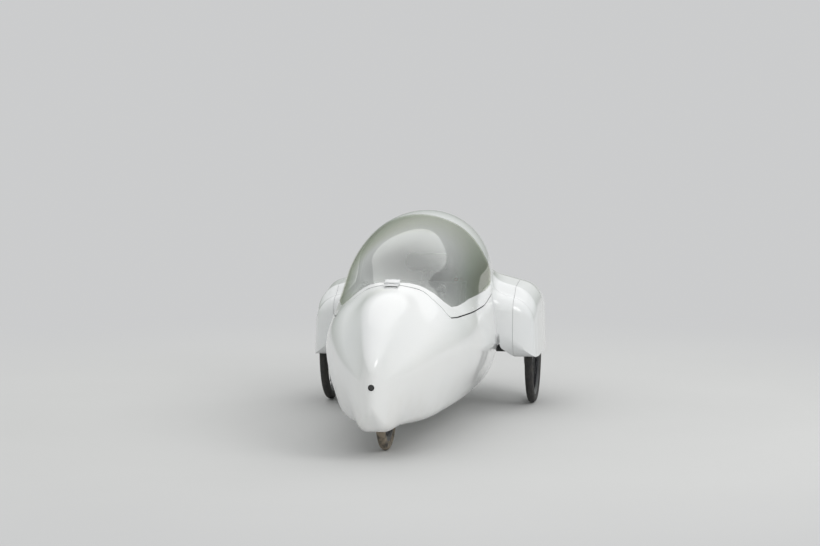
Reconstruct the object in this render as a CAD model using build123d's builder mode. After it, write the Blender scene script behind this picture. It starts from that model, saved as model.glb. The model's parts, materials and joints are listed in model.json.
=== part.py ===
from build123d import *
import os
from math import acos, asin, atan2, cos, degrees, pi, radians, sin, sqrt, tan

# A fully faired three wheeled velomobile: one steered wheel under the nose and two rear wheels in
# side pods. Millimetres, +Z up, nose towards -Y, the vehicle's left side towards +X. The origin is on
# the ground, midway along the length and on the centre line.

os.makedirs("parts", exist_ok=True)

# Overall sizes
LENGTH = 2840.0
WHEELBASE = 1460.0
FRONT_AXLE_STATION = 417.0
HALF_TRACK = 460.0
SHELL = 5.0
GLASS = 3.0

# Wheels
REAR_TYRE_RADIUS = 243.0
REAR_TYRE_WIDTH = 38.0
FRONT_TYRE_RADIUS = 214.5
FRONT_TYRE_WIDTH = 38.0
RIM_WIDTH = 25.0
RIM_DEPTH = 20.0
HUB_RADIUS = 22.0
FLANGE_RADIUS = 31.0
FLANGE_THICKNESS = 3.5
SPOKE_WIDTH = 2.2
SPOKE_COUNT = 16
SPOKE_GAP = 0.25
AXLE_RADIUS = 6.0
REAR_AXLE_RADIUS = 8.0
RUNNING_FIT = 0.05
REAR_HUB_WIDTH = 50.0
FRONT_HUB_WIDTH = 40.0
DISC_RADIUS = 80.0
DISC_THICKNESS = 2.0

# Steering
HEAD_ANGLE = 15.0
STEER_LIMIT = 16.0
BLADE_WIDTH = 24.0
BLADE_THICKNESS = 10.0
BLADE_INSIDE = 27.0
STEERER_RADIUS = 14.0
HEAD_TUBE_RADIUS = 19.0
HEAD_TUBE_START = FRONT_TYRE_RADIUS + 47.5
HEAD_TUBE_LENGTH = 95.0
GRIP_HALF_SPAN = 165.0
BAR_RADIUS = 11.0
GRIP_RADIUS = 16.0
GRIP_LENGTH = 62.0

# Drive
CRANK_STATION = 640.0
CRANK_HEIGHT = 420.0
CRANK_LENGTH = 125.0
CHAINRING_RADIUS = 66.0

# Frame
SPINE_RADIUS = 22.0
SPINE_HEIGHT = 160.0
BEAM_RADIUS = 16.0

# Canopy
SEAM_GAP = 5.0
GLASS_JOINT = 0.3
HINGE_STATION = 572.0
CANOPY_LIMIT = 70.0

REAR_AXLE_STATION = FRONT_AXLE_STATION + WHEELBASE


def at(station):
    """Place along the length: stations are counted from the nose tip backwards."""
    return station - LENGTH / 2


FRONT_AXLE = (0, at(FRONT_AXLE_STATION), FRONT_TYRE_RADIUS)
REAR_AXLE_Y = at(REAR_AXLE_STATION)
CRANK_Y = at(CRANK_STATION)

# Body sections from nose to tail. Columns: station, half width, height of the widest line, floor
# height, roof height, then radii of the upper side, the roof, the lower side and the bilge. In the
# tail's rows the first column is a share of the length that is left behind TAIL_START.
TAIL_START = 1400.0
NOSE_SECTIONS = [
    (0, 10, 300, 222, 362, 16, 8, 900, 6),
    (6, 28, 302, 189, 394, 42, 21, 900, 15),
    (20, 44, 307, 162, 418, 58, 30, 912, 21),
    (60, 64, 320, 135, 450, 80, 42, 900, 30),
    (125, 101, 334, 115, 501, 109, 61, 712, 42),
    (200, 137, 345, 118, 548, 130, 80, 450, 50),
    (300, 178, 360, 120, 593, 159, 106, 424, 60),
    (420, 220, 376, 116, 624, 190, 135, 600, 70),
    (620, 274, 385, 116, 660, 223, 170, 500, 78),
    (720, 292, 379, 117, 706, 254, 197, 435, 82),
    (820, 306, 370, 117, 758, 290, 225, 400, 85),
    (940, 318, 358, 118, 804, 324, 250, 364, 88),
    (1080, 327, 345, 119, 838, 350, 268, 330, 90),
    (TAIL_START, 330, 325, 121, 882, 380, 282, 300, 90),
]
TAIL_SECTIONS = [
    (0.125, 326, 319, 123, 892, 387, 287, 300, 87),
    (0.25, 312, 322, 130, 886, 380, 276, 300, 85),
    (0.375, 279, 339, 148, 858, 352, 237, 292, 84),
    (0.5, 232, 365, 180, 808, 300, 185, 270, 78),
    (0.625, 178, 393, 226, 737, 228, 136, 234, 64),
    (0.75, 122, 420, 285, 655, 150, 92, 190, 45),
    (11 / 12, 52, 452, 378, 548, 60, 40, 120, 22),
    (1, 18, 462, 424, 500, 24, 14, 70, 10),
]
BODY_SECTIONS = NOSE_SECTIONS + [
    (TAIL_START + row[0] * (LENGTH - TAIL_START),) + row[1:] for row in TAIL_SECTIONS
]


def body_outline(row, inset):
    """The right half of a section, as stops (centre, first angle, last angle, radius) of its arcs."""
    station, half, widest, floor, roof, side_r, roof_r, low_r, bilge_r = row
    side_c = (half - side_r, widest)
    roof_c = (0, roof - roof_r)
    low_c = (half - low_r, widest)
    span_x = roof_c[0] - side_c[0]
    span_z = roof_c[1] - side_c[1]
    span = sqrt(span_x**2 + span_z**2)
    flank_turn = atan2(span_z, span_x) - acos((side_r - roof_r) / span)
    bilge_rise = widest - floor - bilge_r
    bilge_x = low_c[0] + sqrt((low_r - bilge_r) ** 2 - bilge_rise**2)
    bilge_c = (bilge_x, floor + bilge_r)
    low_turn = -asin(bilge_rise / (low_r - bilge_r))
    return [
        (bilge_c, -pi / 2, low_turn, bilge_r - inset),
        (low_c, low_turn, 0, low_r - inset),
        (side_c, 0, flank_turn, side_r - inset),
        (roof_c, flank_turn, pi / 2, roof_r - inset),
    ]


def on_arc(centre, angle, radius):
    return (centre[0] + radius * cos(angle), centre[1] + radius * sin(angle))


def half_points(row, inset):
    """Points of the right half, floor to roof: three arcs, a straight flank and half the roof arc."""
    arcs = []
    for centre, first, last, radius in body_outline(row, inset):
        turns = (first, (first + last) / 2, last)
        arcs.append([on_arc(centre, turn, radius) for turn in turns])
    return arcs


def half_section(row, wall, grow):
    """Half of the wall at one station, or the half section filled and grown when wall is 0."""
    outer = half_points(row, -grow)
    low_point = (0, outer[0][0][1])
    Line(low_point, outer[0][0])
    for arc in outer[:3]:
        ThreePointArc(*arc)
    Line(outer[2][2], outer[3][0])
    ThreePointArc(*outer[3])
    if not wall:
        Line(outer[3][2], low_point)
        return
    inner = half_points(row, wall)
    inner_low = (0, inner[0][0][1])
    Line(outer[3][2], inner[3][2])
    ThreePointArc(*reversed(inner[3]))
    Line(inner[3][0], inner[2][2])
    for arc in reversed(inner[:3]):
        ThreePointArc(*reversed(arc))
    Line(inner[0][0], inner_low)
    Line(inner_low, low_point)


def wall_loft(wall, grow=0):
    """One half of the body wall, or of the filled body when wall is 0."""
    with BuildPart() as form:
        for row in BODY_SECTIONS:
            with BuildSketch(Plane.XZ.offset(-at(row[0]))):
                with BuildLine():
                    half_section(row, wall, grow)
                make_face()
        loft(ruled=True)
    return form.part


def sections_round(station):
    """The sections before and behind a station, and how far it lies from the first to the second."""
    behind = next(k for k, row in enumerate(BODY_SECTIONS) if row[0] > station)
    before, after = BODY_SECTIONS[behind - 1], BODY_SECTIONS[behind]
    return before, after, (station - before[0]) / (after[0] - before[0])


def roof_height(station):
    before, after, share = sections_round(station)
    return before[4] + (after[4] - before[4]) * share


def flank_spot(station, height):
    """The point of the body's straight left flank at a station and height."""
    before, after, share = sections_round(station)
    ends = []
    for arcs in (half_points(before, 0), half_points(after, 0)):
        ends.append((Vector(*arcs[2][2]), Vector(*arcs[3][0])))
    low, high = [first + (second - first) * share for first, second in zip(*ends)]
    spot = low + (high - low) * ((height - low.Y) / (high.Y - low.Y))
    return Vector(spot.X, at(station), spot.Y)


def mirrored(part):
    return mirror(part, about=Plane.YZ, mode=Mode.PRIVATE)


def save(name, part):
    """Label a finished piece and write it."""
    part.label = name
    export_step(part, "parts/" + name + ".step")


half_wall = wall_loft(SHELL)
half_glass = wall_loft(GLASS)

# Side view of the canopy seam, as stations and heights: nose end of the seam, the corner below the
# glass, the sill, the rear corner and the leaning rear hoop.
SEAM_TOP = 1000.0
SEAM_FRONT = (HINGE_STATION, 650)
SEAM_CHEEK = (HINGE_STATION + 90, 560)
SEAM_CUSP = (HINGE_STATION + 134, 503)
SEAM_SILL = (1250, 499)
SEAM_CORNER = (REAR_AXLE_STATION - 229, 532)
SEAM_HOOP_FOOT = (REAR_AXLE_STATION - 199, 640)
SEAM_HOOP_HEAD = (REAR_AXLE_STATION - 115, 890)


def canopy_ring(grow):
    """Corners of the canopy's side view, its straight sides moved outwards by grow."""
    lean = (SEAM_HOOP_HEAD[0] - SEAM_HOOP_FOOT[0]) / (SEAM_HOOP_HEAD[1] - SEAM_HOOP_FOOT[1])
    rear_top = SEAM_HOOP_HEAD[0] + lean * (SEAM_TOP - SEAM_HOOP_HEAD[1])
    ring = [(SEAM_FRONT[0], SEAM_TOP), SEAM_FRONT, SEAM_CHEEK, SEAM_CUSP, SEAM_SILL, SEAM_CORNER]
    ring += [SEAM_HOOP_FOOT, (rear_top, SEAM_TOP)]
    points = [Vector(at(station), height) for station, height in ring]
    moved = []
    for k, here in enumerate(points):
        way_in = (here - points[k - 1]).normalized()
        way_out = (points[(k + 1) % len(points)] - here).normalized()
        normal_in = Vector(-way_in.Y, way_in.X)
        normal_out = Vector(-way_out.Y, way_out.X)
        bisector = (normal_in + normal_out).normalized()
        moved.append(here - bisector * (grow / bisector.dot(normal_in)))
    return moved


def canopy_block(grow):
    """A block across the vehicle with the canopy's side view."""
    ring = canopy_ring(grow)
    with BuildPart() as block:
        with BuildSketch(Plane.YZ) as side:
            with BuildLine():
                Polyline(*[(point.X, point.Y) for point in ring], close=True)
            make_face()
            for k, radius in ((2, 60), (3, 40), (5, 60)):
                corner = side.vertices().sort_by_distance((ring[k].X, ring[k].Y))[0]
                fillet([corner], radius=radius)
        extrude(amount=LENGTH / 4, both=True)
    return block.part


FRAME_STRIP = 45.0

# Front wheel slot in the floor, a bow tie swept by the steered wheel.
SLOT_CLEAR = 10.0
HEADLIGHT_HEIGHT = 303.0
HEADLIGHT_RADIUS = 15.0
BEAM_CLEAR = 0.3

TAIL_LIGHT_HEIGHT = 462.0
TAIL_LIGHT_RADIUS = 11.0
HINGE_RISE = 2.64
HINGE_HEIGHT = roof_height(HINGE_STATION) + HINGE_RISE
HINGE_HALF = 30.0
HINGE_RADIUS = 4.5
HINGE_PIN = 2.0
HINGE_AXIS = (0, at(HINGE_STATION), HINGE_HEIGHT)

with BuildPart() as notch:
    with BuildSketch(Plane.YZ):
        with Locations((HINGE_AXIS[1], HINGE_HEIGHT)):
            Rectangle(2 * HINGE_RADIUS + 8, 30)
    extrude(amount=HINGE_HALF + 2, both=True)
hinge_notch = notch.part

seam_cut = canopy_block(SEAM_GAP / 2)
with BuildPart() as body_shell:
    add(half_wall)
    add(seam_cut, mode=Mode.SUBTRACT)
    mirror(about=Plane.YZ)
    for row, inward in ((BODY_SECTIONS[0], -1), (BODY_SECTIONS[-1], 1)):
        plug_sides = half_points(row, SHELL / 4)
        with BuildSketch(Plane.XZ.offset(-at(row[0]))) as plug:
            with BuildLine():
                Line((0, plug_sides[0][0][1]), plug_sides[0][0])
                for arc in plug_sides[:3]:
                    ThreePointArc(*arc)
                Line(plug_sides[2][2], plug_sides[3][0])
                ThreePointArc(*plug_sides[3])
                Line(plug_sides[3][2], (0, plug_sides[0][0][1]))
            make_face()
            mirror(about=Plane.YZ)
        extrude(amount=inward * SHELL)
    slot_half = FRONT_TYRE_RADIUS + SLOT_CLEAR
    with BuildSketch(Plane.XY) as slot:
        for share in (-1, -0.5, 0, 0.5, 1):
            with Locations(Location((0, FRONT_AXLE[1]), share * STEER_LIMIT)):
                Rectangle(FRONT_TYRE_WIDTH + 2 * SLOT_CLEAR, 2 * slot_half)
    extrude(amount=FRONT_TYRE_RADIUS, mode=Mode.SUBTRACT)
    with BuildSketch(Plane.XZ.offset(LENGTH / 2 + 1)):
        with Locations((0, HEADLIGHT_HEIGHT)):
            Circle(HEADLIGHT_RADIUS)
    extrude(amount=-30, mode=Mode.SUBTRACT)
    with BuildSketch(Plane.XZ.offset(-LENGTH / 2 - 1)):
        with Locations((0, TAIL_LIGHT_HEIGHT)):
            Circle(TAIL_LIGHT_RADIUS)
    extrude(amount=30, mode=Mode.SUBTRACT)
    with BuildSketch(Plane.YZ):
        with Locations((REAR_AXLE_Y, REAR_TYRE_RADIUS)):
            Circle(BEAM_RADIUS + BEAM_CLEAR)
    extrude(amount=LENGTH / 4, both=True, mode=Mode.SUBTRACT)
    add(hinge_notch, mode=Mode.SUBTRACT)
save("body_shell", body_shell.part)

# Canopy: a white frame strip all round, and the clear bubble set in it.
with BuildPart() as canopy_frame:
    add(half_wall)
    add(canopy_block(-SEAM_GAP / 2), mode=Mode.INTERSECT)
    add(canopy_block(-SEAM_GAP / 2 - FRAME_STRIP), mode=Mode.SUBTRACT)
    mirror(about=Plane.YZ)
    add(hinge_notch, mode=Mode.SUBTRACT)
save("canopy_frame", canopy_frame.part)

with BuildPart() as canopy_glass:
    add(half_glass)
    add(canopy_block(-SEAM_GAP / 2 - FRAME_STRIP - GLASS_JOINT), mode=Mode.INTERSECT)
    mirror(about=Plane.YZ)
save("canopy_glass", canopy_glass.part)

# Side pods and wings. Every size but the root's height follows the wheel that they cover.
ROOT_X = 20.0
WELL_WIDTH = 92.0
POD_WALL = 5.0
PANEL_X = HALF_TRACK - 62
SKIN_JOINT = 0.2
TYRE_FRONT = REAR_AXLE_STATION - REAR_TYRE_RADIUS
TYRE_REAR = REAR_AXLE_STATION + REAR_TYRE_RADIUS
POD_REAR = TYRE_REAR + 35
POD_TAIL = LENGTH - POD_REAR


def pod_row(station, root_top, corner_out, corner_up, skirt_out, skirt_up, under_up, radius):
    """A section. Outwards counts from the wheel's middle; the corner's height from the tyre's top, the
    skirt's and the underside's from the axle. radius is the corner's."""
    return (
        station,
        root_top,
        HALF_TRACK + corner_out,
        2 * REAR_TYRE_RADIUS + corner_up,
        HALF_TRACK + skirt_out,
        REAR_TYRE_RADIUS + skirt_up,
        REAR_TYRE_RADIUS + under_up,
        radius,
    )


POD_SECTIONS = [
    pod_row(TYRE_FRONT - 89, 500, -110, -46, -108, 102, 109, 24),
    pod_row(TYRE_FRONT - 22, 575, 26, -16, 33, -7, 63, 50),
    pod_row(TYRE_FRONT + 66, 640, 32, 29, 40, -13, 57, 60),
    pod_row(TYRE_REAR - 220, 660, 34, 39, 43, -13, 57, 60),
    pod_row(POD_REAR, 625, 22, 14, 32, -3, 62, 55),
    pod_row(POD_REAR + 0.21 * POD_TAIL, 590, -30, -31, -20, 47, 87, 40),
    pod_row(POD_REAR + 0.53 * POD_TAIL, 540, -220, -46, -214, 129, 135, 20),
]


def pod_loft(rows, inset, drop):
    """Wing root and pod in one form; inset makes the hollow in it, open below by drop."""
    with BuildPart() as form:
        for station, root_top, corner_x, corner_z, skirt_x, skirt_z, under_z, radius in rows:
            inner_x = skirt_x - WELL_WIDTH - inset
            outline = [
                (ROOT_X + inset, root_top - inset),
                (corner_x - inset, corner_z - inset),
                (skirt_x - inset, skirt_z - drop),
                (inner_x, skirt_z - drop),
                (inner_x, under_z + inset),
                (ROOT_X + inset, under_z + inset),
            ]
            with BuildSketch(Plane.XZ.offset(-at(station))) as section:
                with BuildLine():
                    Polyline(*outline, close=True)
                make_face()
                corner = section.vertices().sort_by_distance(outline[1])[0]
                fillet([corner], radius=radius - inset)
        loft(ruled=True)
    return form.part


pod_form = pod_loft(POD_SECTIONS, 0, 0)
well_rows = []
for row in POD_SECTIONS[1:5]:
    shift = 2 * POD_WALL if row[0] < REAR_AXLE_STATION else -2 * POD_WALL
    well_rows.append((row[0] + shift,) + row[1:])
well_form = pod_loft(well_rows, POD_WALL, 40)

with BuildPart() as well:
    add(well_form)
    split(bisect_by=Plane.YZ.offset(PANEL_X + POD_WALL), keep=Keep.TOP)
with BuildPart() as left_wheel_fairing:
    add(pod_form)
    split(bisect_by=Plane.YZ.offset(PANEL_X), keep=Keep.TOP)
    add(well.part, mode=Mode.SUBTRACT)
save("left_wheel_fairing", left_wheel_fairing.part)
save("right_wheel_fairing", mirrored(left_wheel_fairing.part))

grown_half = wall_loft(0, SKIN_JOINT)

# Mirror plates: one a side on the canopy frame, with two screw holes for a mirror's foot.
MIRROR_STATION = 1120.0
MIRROR_HEIGHT = 524.0
MIRROR_LENGTH = 56.0
MIRROR_WIDTH = 20.0
MIRROR_THICKNESS = 3.5
MIRROR_PITCH = 30.0
MIRROR_HOLE = 2.75
flank_way = flank_spot(MIRROR_STATION + MIRROR_LENGTH / 2, MIRROR_HEIGHT)
flank_way -= flank_spot(MIRROR_STATION - MIRROR_LENGTH / 2, MIRROR_HEIGHT)
flank_up = flank_spot(MIRROR_STATION, MIRROR_HEIGHT + 10) - flank_spot(MIRROR_STATION, MIRROR_HEIGHT)
mirror_plane = Plane(
    origin=flank_spot(MIRROR_STATION, MIRROR_HEIGHT), x_dir=flank_way, z_dir=flank_way.cross(flank_up)
)
with BuildPart() as left_mirror_plate:
    with BuildSketch(mirror_plane.offset(-MIRROR_THICKNESS)):
        RectangleRounded(MIRROR_LENGTH, MIRROR_WIDTH, 6)
        with GridLocations(MIRROR_PITCH, 0, 2, 1):
            Circle(MIRROR_HOLE, mode=Mode.SUBTRACT)
    extrude(amount=2 * MIRROR_THICKNESS)
    add(grown_half, mode=Mode.SUBTRACT)
save("left_mirror_plate", left_mirror_plate.part)
save("right_mirror_plate", mirrored(left_mirror_plate.part))

with BuildPart() as left_wing:
    add(pod_form)
    split(bisect_by=Plane.YZ.offset(PANEL_X), keep=Keep.BOTTOM)
    add(grown_half, mode=Mode.SUBTRACT)
save("left_wing", left_wing.part)
save("right_wing", mirrored(left_wing.part))

# Wheels. Each is turned about X at its own axle.


def wheel_pieces(name, centre, tyre_radius, tyre_width, hub_width, axle_radius):
    """Tyre, rim with spokes and hub of one wheel."""
    plane = Plane(origin=centre, x_dir=(0, 1, 0), z_dir=(1, 0, 0))
    tube = tyre_width / 2
    bead = tyre_radius - 2 * tube + 2
    with BuildPart() as tyre:
        with BuildSketch(Plane(origin=centre, x_dir=(1, 0, 0), z_dir=(0, -1, 0))):
            with BuildLine():
                right = [
                    (tube * 0.3, tyre_radius),
                    (tube * 0.8, tyre_radius - tube * 0.35),
                    (tube, tyre_radius - tube),
                    (RIM_WIDTH / 2 + 1, bead),
                ]
                left = [(-across, out) for across, out in reversed(right)]
                Polyline(*right, *left, close=True)
            make_face()
        revolve(axis=Axis(centre, (1, 0, 0)))
    save(name + "_tyre", tyre.part)
    rim_inner = bead - RIM_DEPTH
    with BuildPart() as rim:
        with BuildSketch(Plane(origin=centre, x_dir=(1, 0, 0), z_dir=(0, -1, 0))):
            with BuildLine():
                Polyline(
                    (-RIM_WIDTH / 2, bead),
                    (RIM_WIDTH / 2, bead),
                    (RIM_WIDTH / 2, bead - RIM_DEPTH / 2),
                    (RIM_WIDTH / 4, rim_inner),
                    (-RIM_WIDTH / 4, rim_inner),
                    (-RIM_WIDTH / 2, bead - RIM_DEPTH / 2),
                    close=True,
                )
            make_face()
        revolve(axis=Axis(centre, (1, 0, 0)))
        flange_x = hub_width / 2 - FLANGE_THICKNESS / 2
        for k in range(SPOKE_COUNT):
            side = 1 if k % 2 else -1
            turn = 360 / SPOKE_COUNT * k
            foot = Vector(side * flange_x, 0, FLANGE_RADIUS + SPOKE_GAP).rotate(Axis.X, turn)
            head = Vector(0, 0, rim_inner + 2).rotate(Axis.X, turn)
            way = head - foot
            with BuildSketch(Plane(origin=Vector(*centre) + foot, z_dir=way)):
                Rectangle(SPOKE_WIDTH, SPOKE_WIDTH)
            extrude(amount=way.length)
    save(name + "_rim", rim.part)
    with BuildPart() as hub:
        with BuildSketch(plane.offset(-hub_width / 2)):
            Circle(HUB_RADIUS - 4)
        extrude(amount=hub_width)
        for start in (-hub_width / 2, hub_width / 2 - FLANGE_THICKNESS):
            with BuildSketch(plane.offset(start)):
                Circle(FLANGE_RADIUS)
            extrude(amount=FLANGE_THICKNESS)
        with BuildSketch(plane.offset(-hub_width / 2)):
            Circle(axle_radius + RUNNING_FIT)
        extrude(amount=hub_width, mode=Mode.SUBTRACT)
    save(name + "_hub", hub.part)


wheel_pieces("front", FRONT_AXLE, FRONT_TYRE_RADIUS, FRONT_TYRE_WIDTH, FRONT_HUB_WIDTH, AXLE_RADIUS)
for name, side in (("left", 1), ("right", -1)):
    centre = (side * HALF_TRACK, REAR_AXLE_Y, REAR_TYRE_RADIUS)
    wheel_pieces(name, centre, REAR_TYRE_RADIUS, REAR_TYRE_WIDTH, REAR_HUB_WIDTH, REAR_AXLE_RADIUS)


# Canopy hinge at the nose end of the seam: two fixed knuckles, one moving knuckle, seated leaves.
with BuildPart() as body_fill:
    add(grown_half)
    mirror(about=Plane.YZ)
    add(hinge_notch, mode=Mode.SUBTRACT)


def hinge_leaf(slope, reach):
    """A leaf lying on the body skin from the knuckle, forwards when reach is negative."""
    tilt = radians(slope)
    plane = Plane(origin=HINGE_AXIS, x_dir=(1, 0, 0), z_dir=(0, -sin(tilt), cos(tilt)))
    with BuildPart() as leaf:
        with BuildSketch(plane.offset(-9)):
            with Locations((0, reach / 2)):
                Rectangle(2 * HINGE_HALF, abs(reach))
        extrude(amount=9)
        add(hinge_notch, mode=Mode.SUBTRACT)
    return leaf.part


def knuckles(spans, radius):
    with BuildPart() as barrel:
        for start, end in spans:
            with BuildSketch(Plane.YZ.offset(start)):
                with Locations((HINGE_AXIS[1], HINGE_HEIGHT)):
                    Circle(radius)
            extrude(amount=end - start)
    return barrel.part


FIXED_KNUCKLES = ((-HINGE_HALF, -11), (11, HINGE_HALF))
MOVING_KNUCKLE = ((-10.5, 10.5),)
with BuildPart() as canopy_hinge_base:
    add(hinge_leaf(14, -34))
    for start, end in FIXED_KNUCKLES:
        with BuildSketch(Plane.YZ.offset(start)):
            with Locations((HINGE_AXIS[1] - 6, HINGE_HEIGHT - 1.8)):
                Rectangle(12, 2.5)
        extrude(amount=end - start)
    add(body_fill.part, mode=Mode.SUBTRACT)
    add(knuckles(FIXED_KNUCKLES, HINGE_RADIUS))
    add(knuckles(((-HINGE_HALF, HINGE_HALF),), HINGE_PIN))
save("canopy_hinge_base", canopy_hinge_base.part)
with BuildPart() as canopy_hinge_leaf:
    add(hinge_leaf(20, 34))
    with BuildSketch(Plane.YZ.offset(-10.5)):
        with Locations((HINGE_AXIS[1] + 6, HINGE_HEIGHT + 0.5)):
            Rectangle(12, 2.5)
    extrude(amount=21)
    add(body_fill.part, mode=Mode.SUBTRACT)
    add(knuckles(MOVING_KNUCKLE, HINGE_RADIUS))
    add(knuckles(((-HINGE_HALF, HINGE_HALF),), HINGE_PIN + RUNNING_FIT), mode=Mode.SUBTRACT)
save("canopy_hinge_leaf", canopy_hinge_leaf.part)

# Steering axis through the front axle, leaning back, and the bar column parallel to it.
LEAN = (0, sin(radians(HEAD_ANGLE)), cos(radians(HEAD_ANGLE)))
COLUMN_FOOT = (0, CRANK_Y + 120, CRANK_HEIGHT - 140)
COLUMN_TUBE = 205.0
COLUMN_RADIUS = 12.0
BAR_RISE = 332.0
LINK_ARM = 45.0
LINK_LEVEL = HEAD_TUBE_START + 116
LINK_THICKNESS = 8.0
PIN_RADIUS = 4.0


def lean_plane(foot, rise):
    """A plane square to the steering axis, rise above foot, with +Y pointing backwards."""
    spot = Vector(*foot) + Vector(*LEAN) * rise
    return Plane(origin=spot, x_dir=(1, 0, 0), z_dir=LEAN)


def lean_bar(foot, start, end, radius):
    with BuildPart() as bar:
        with BuildSketch(lean_plane(foot, start)):
            Circle(radius)
        extrude(amount=end - start)
    return bar.part


def link_arm(foot, level, sleeve, bore):
    """A sleeve on a steerer with an arm to the drag link and its pin."""
    with BuildPart() as arm:
        with BuildSketch(lean_plane(foot, level - 12)):
            Circle(sleeve)
        extrude(amount=20)
        with BuildSketch(lean_plane(foot, level - 8)):
            SlotCenterPoint((LINK_ARM / 2, 0), (LINK_ARM, 0), 18)
        extrude(amount=12)
        with BuildSketch(lean_plane(foot, level)):
            with Locations((LINK_ARM, 0)):
                Circle(PIN_RADIUS)
        extrude(amount=16)
        with BuildSketch(lean_plane(foot, level - 14)):
            Circle(bore)
        extrude(amount=24, mode=Mode.SUBTRACT)
    return arm.part


CROWN_START = FRONT_TYRE_RADIUS + 13.5
STEERER_END = HEAD_TUBE_START + 130
with BuildPart() as fork:
    for side in (-1, 1):
        with BuildSketch(lean_plane(FRONT_AXLE, -16)):
            with Locations((side * (BLADE_INSIDE + BLADE_THICKNESS / 2), 0)):
                SlotOverall(BLADE_WIDTH, BLADE_THICKNESS, rotation=90)
        extrude(amount=CROWN_START + 18)
    with BuildSketch(lean_plane(FRONT_AXLE, CROWN_START)):
        RectangleRounded(2 * (BLADE_INSIDE + BLADE_THICKNESS), 34, 8)
    extrude(amount=22)
    add(lean_bar(FRONT_AXLE, CROWN_START + 20, STEERER_END, STEERER_RADIUS))
    with BuildSketch(Plane.YZ.offset(-50)):
        with Locations((FRONT_AXLE[1], FRONT_AXLE[2])):
            Circle(AXLE_RADIUS + RUNNING_FIT)
    extrude(amount=100, mode=Mode.SUBTRACT)
save("fork", fork.part)
with BuildPart() as front_axle:
    with BuildSketch(Plane.YZ.offset(-BLADE_INSIDE - BLADE_THICKNESS - 6)):
        with Locations((FRONT_AXLE[1], FRONT_AXLE[2])):
            Circle(AXLE_RADIUS)
    extrude(amount=2 * (BLADE_INSIDE + BLADE_THICKNESS + 6))
    for start in (-BLADE_INSIDE - BLADE_THICKNESS - 6, BLADE_INSIDE + BLADE_THICKNESS):
        with BuildSketch(Plane.YZ.offset(start)):
            with Locations((FRONT_AXLE[1], FRONT_AXLE[2])):
                Circle(AXLE_RADIUS + 4)
        extrude(amount=6)
save("front_axle", front_axle.part)
save("steering_arm", link_arm(FRONT_AXLE, LINK_LEVEL, STEERER_RADIUS + 7, STEERER_RADIUS + RUNNING_FIT))

column_gap = Vector(*FRONT_AXLE) - Vector(*COLUMN_FOOT)
COLUMN_LEVEL = LINK_LEVEL + column_gap.dot(Vector(*LEAN))
link_plane = lean_plane(FRONT_AXLE, LINK_LEVEL + 5)
link_run = Vector(*COLUMN_FOOT) + Vector(*LEAN) * COLUMN_LEVEL - link_plane.origin + Vector(*LEAN) * 5
link_length = link_run.length
with BuildPart() as steering_link:
    with BuildSketch(link_plane):
        with Locations((LINK_ARM, link_length / 2)):
            Rectangle(10, link_length)
        with Locations((LINK_ARM, 0), (LINK_ARM, link_length)):
            Circle(9)
        with Locations((LINK_ARM, 0), (LINK_ARM, link_length)):
            Circle(PIN_RADIUS + RUNNING_FIT, mode=Mode.SUBTRACT)
    extrude(amount=LINK_THICKNESS)
save("steering_link", steering_link.part)

BAR_CENTRE = Vector(*COLUMN_FOOT) + Vector(*LEAN) * BAR_RISE
with BuildPart() as bar_column:
    add(lean_bar(COLUMN_FOOT, 20, BAR_RISE - 4, COLUMN_RADIUS))
    with BuildSketch(Plane.YZ.offset(-20)):
        with Locations((BAR_CENTRE.Y, BAR_CENTRE.Z)):
            Circle(BAR_RADIUS + 6)
    extrude(amount=40)
    with BuildSketch(Plane.YZ.offset(-30)):
        with Locations((BAR_CENTRE.Y, BAR_CENTRE.Z)):
            Circle(BAR_RADIUS + RUNNING_FIT)
    extrude(amount=60, mode=Mode.SUBTRACT)
save("bar_column", bar_column.part)
save("column_arm", link_arm(COLUMN_FOOT, COLUMN_LEVEL, COLUMN_RADIUS + 7, COLUMN_RADIUS + RUNNING_FIT))

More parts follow.
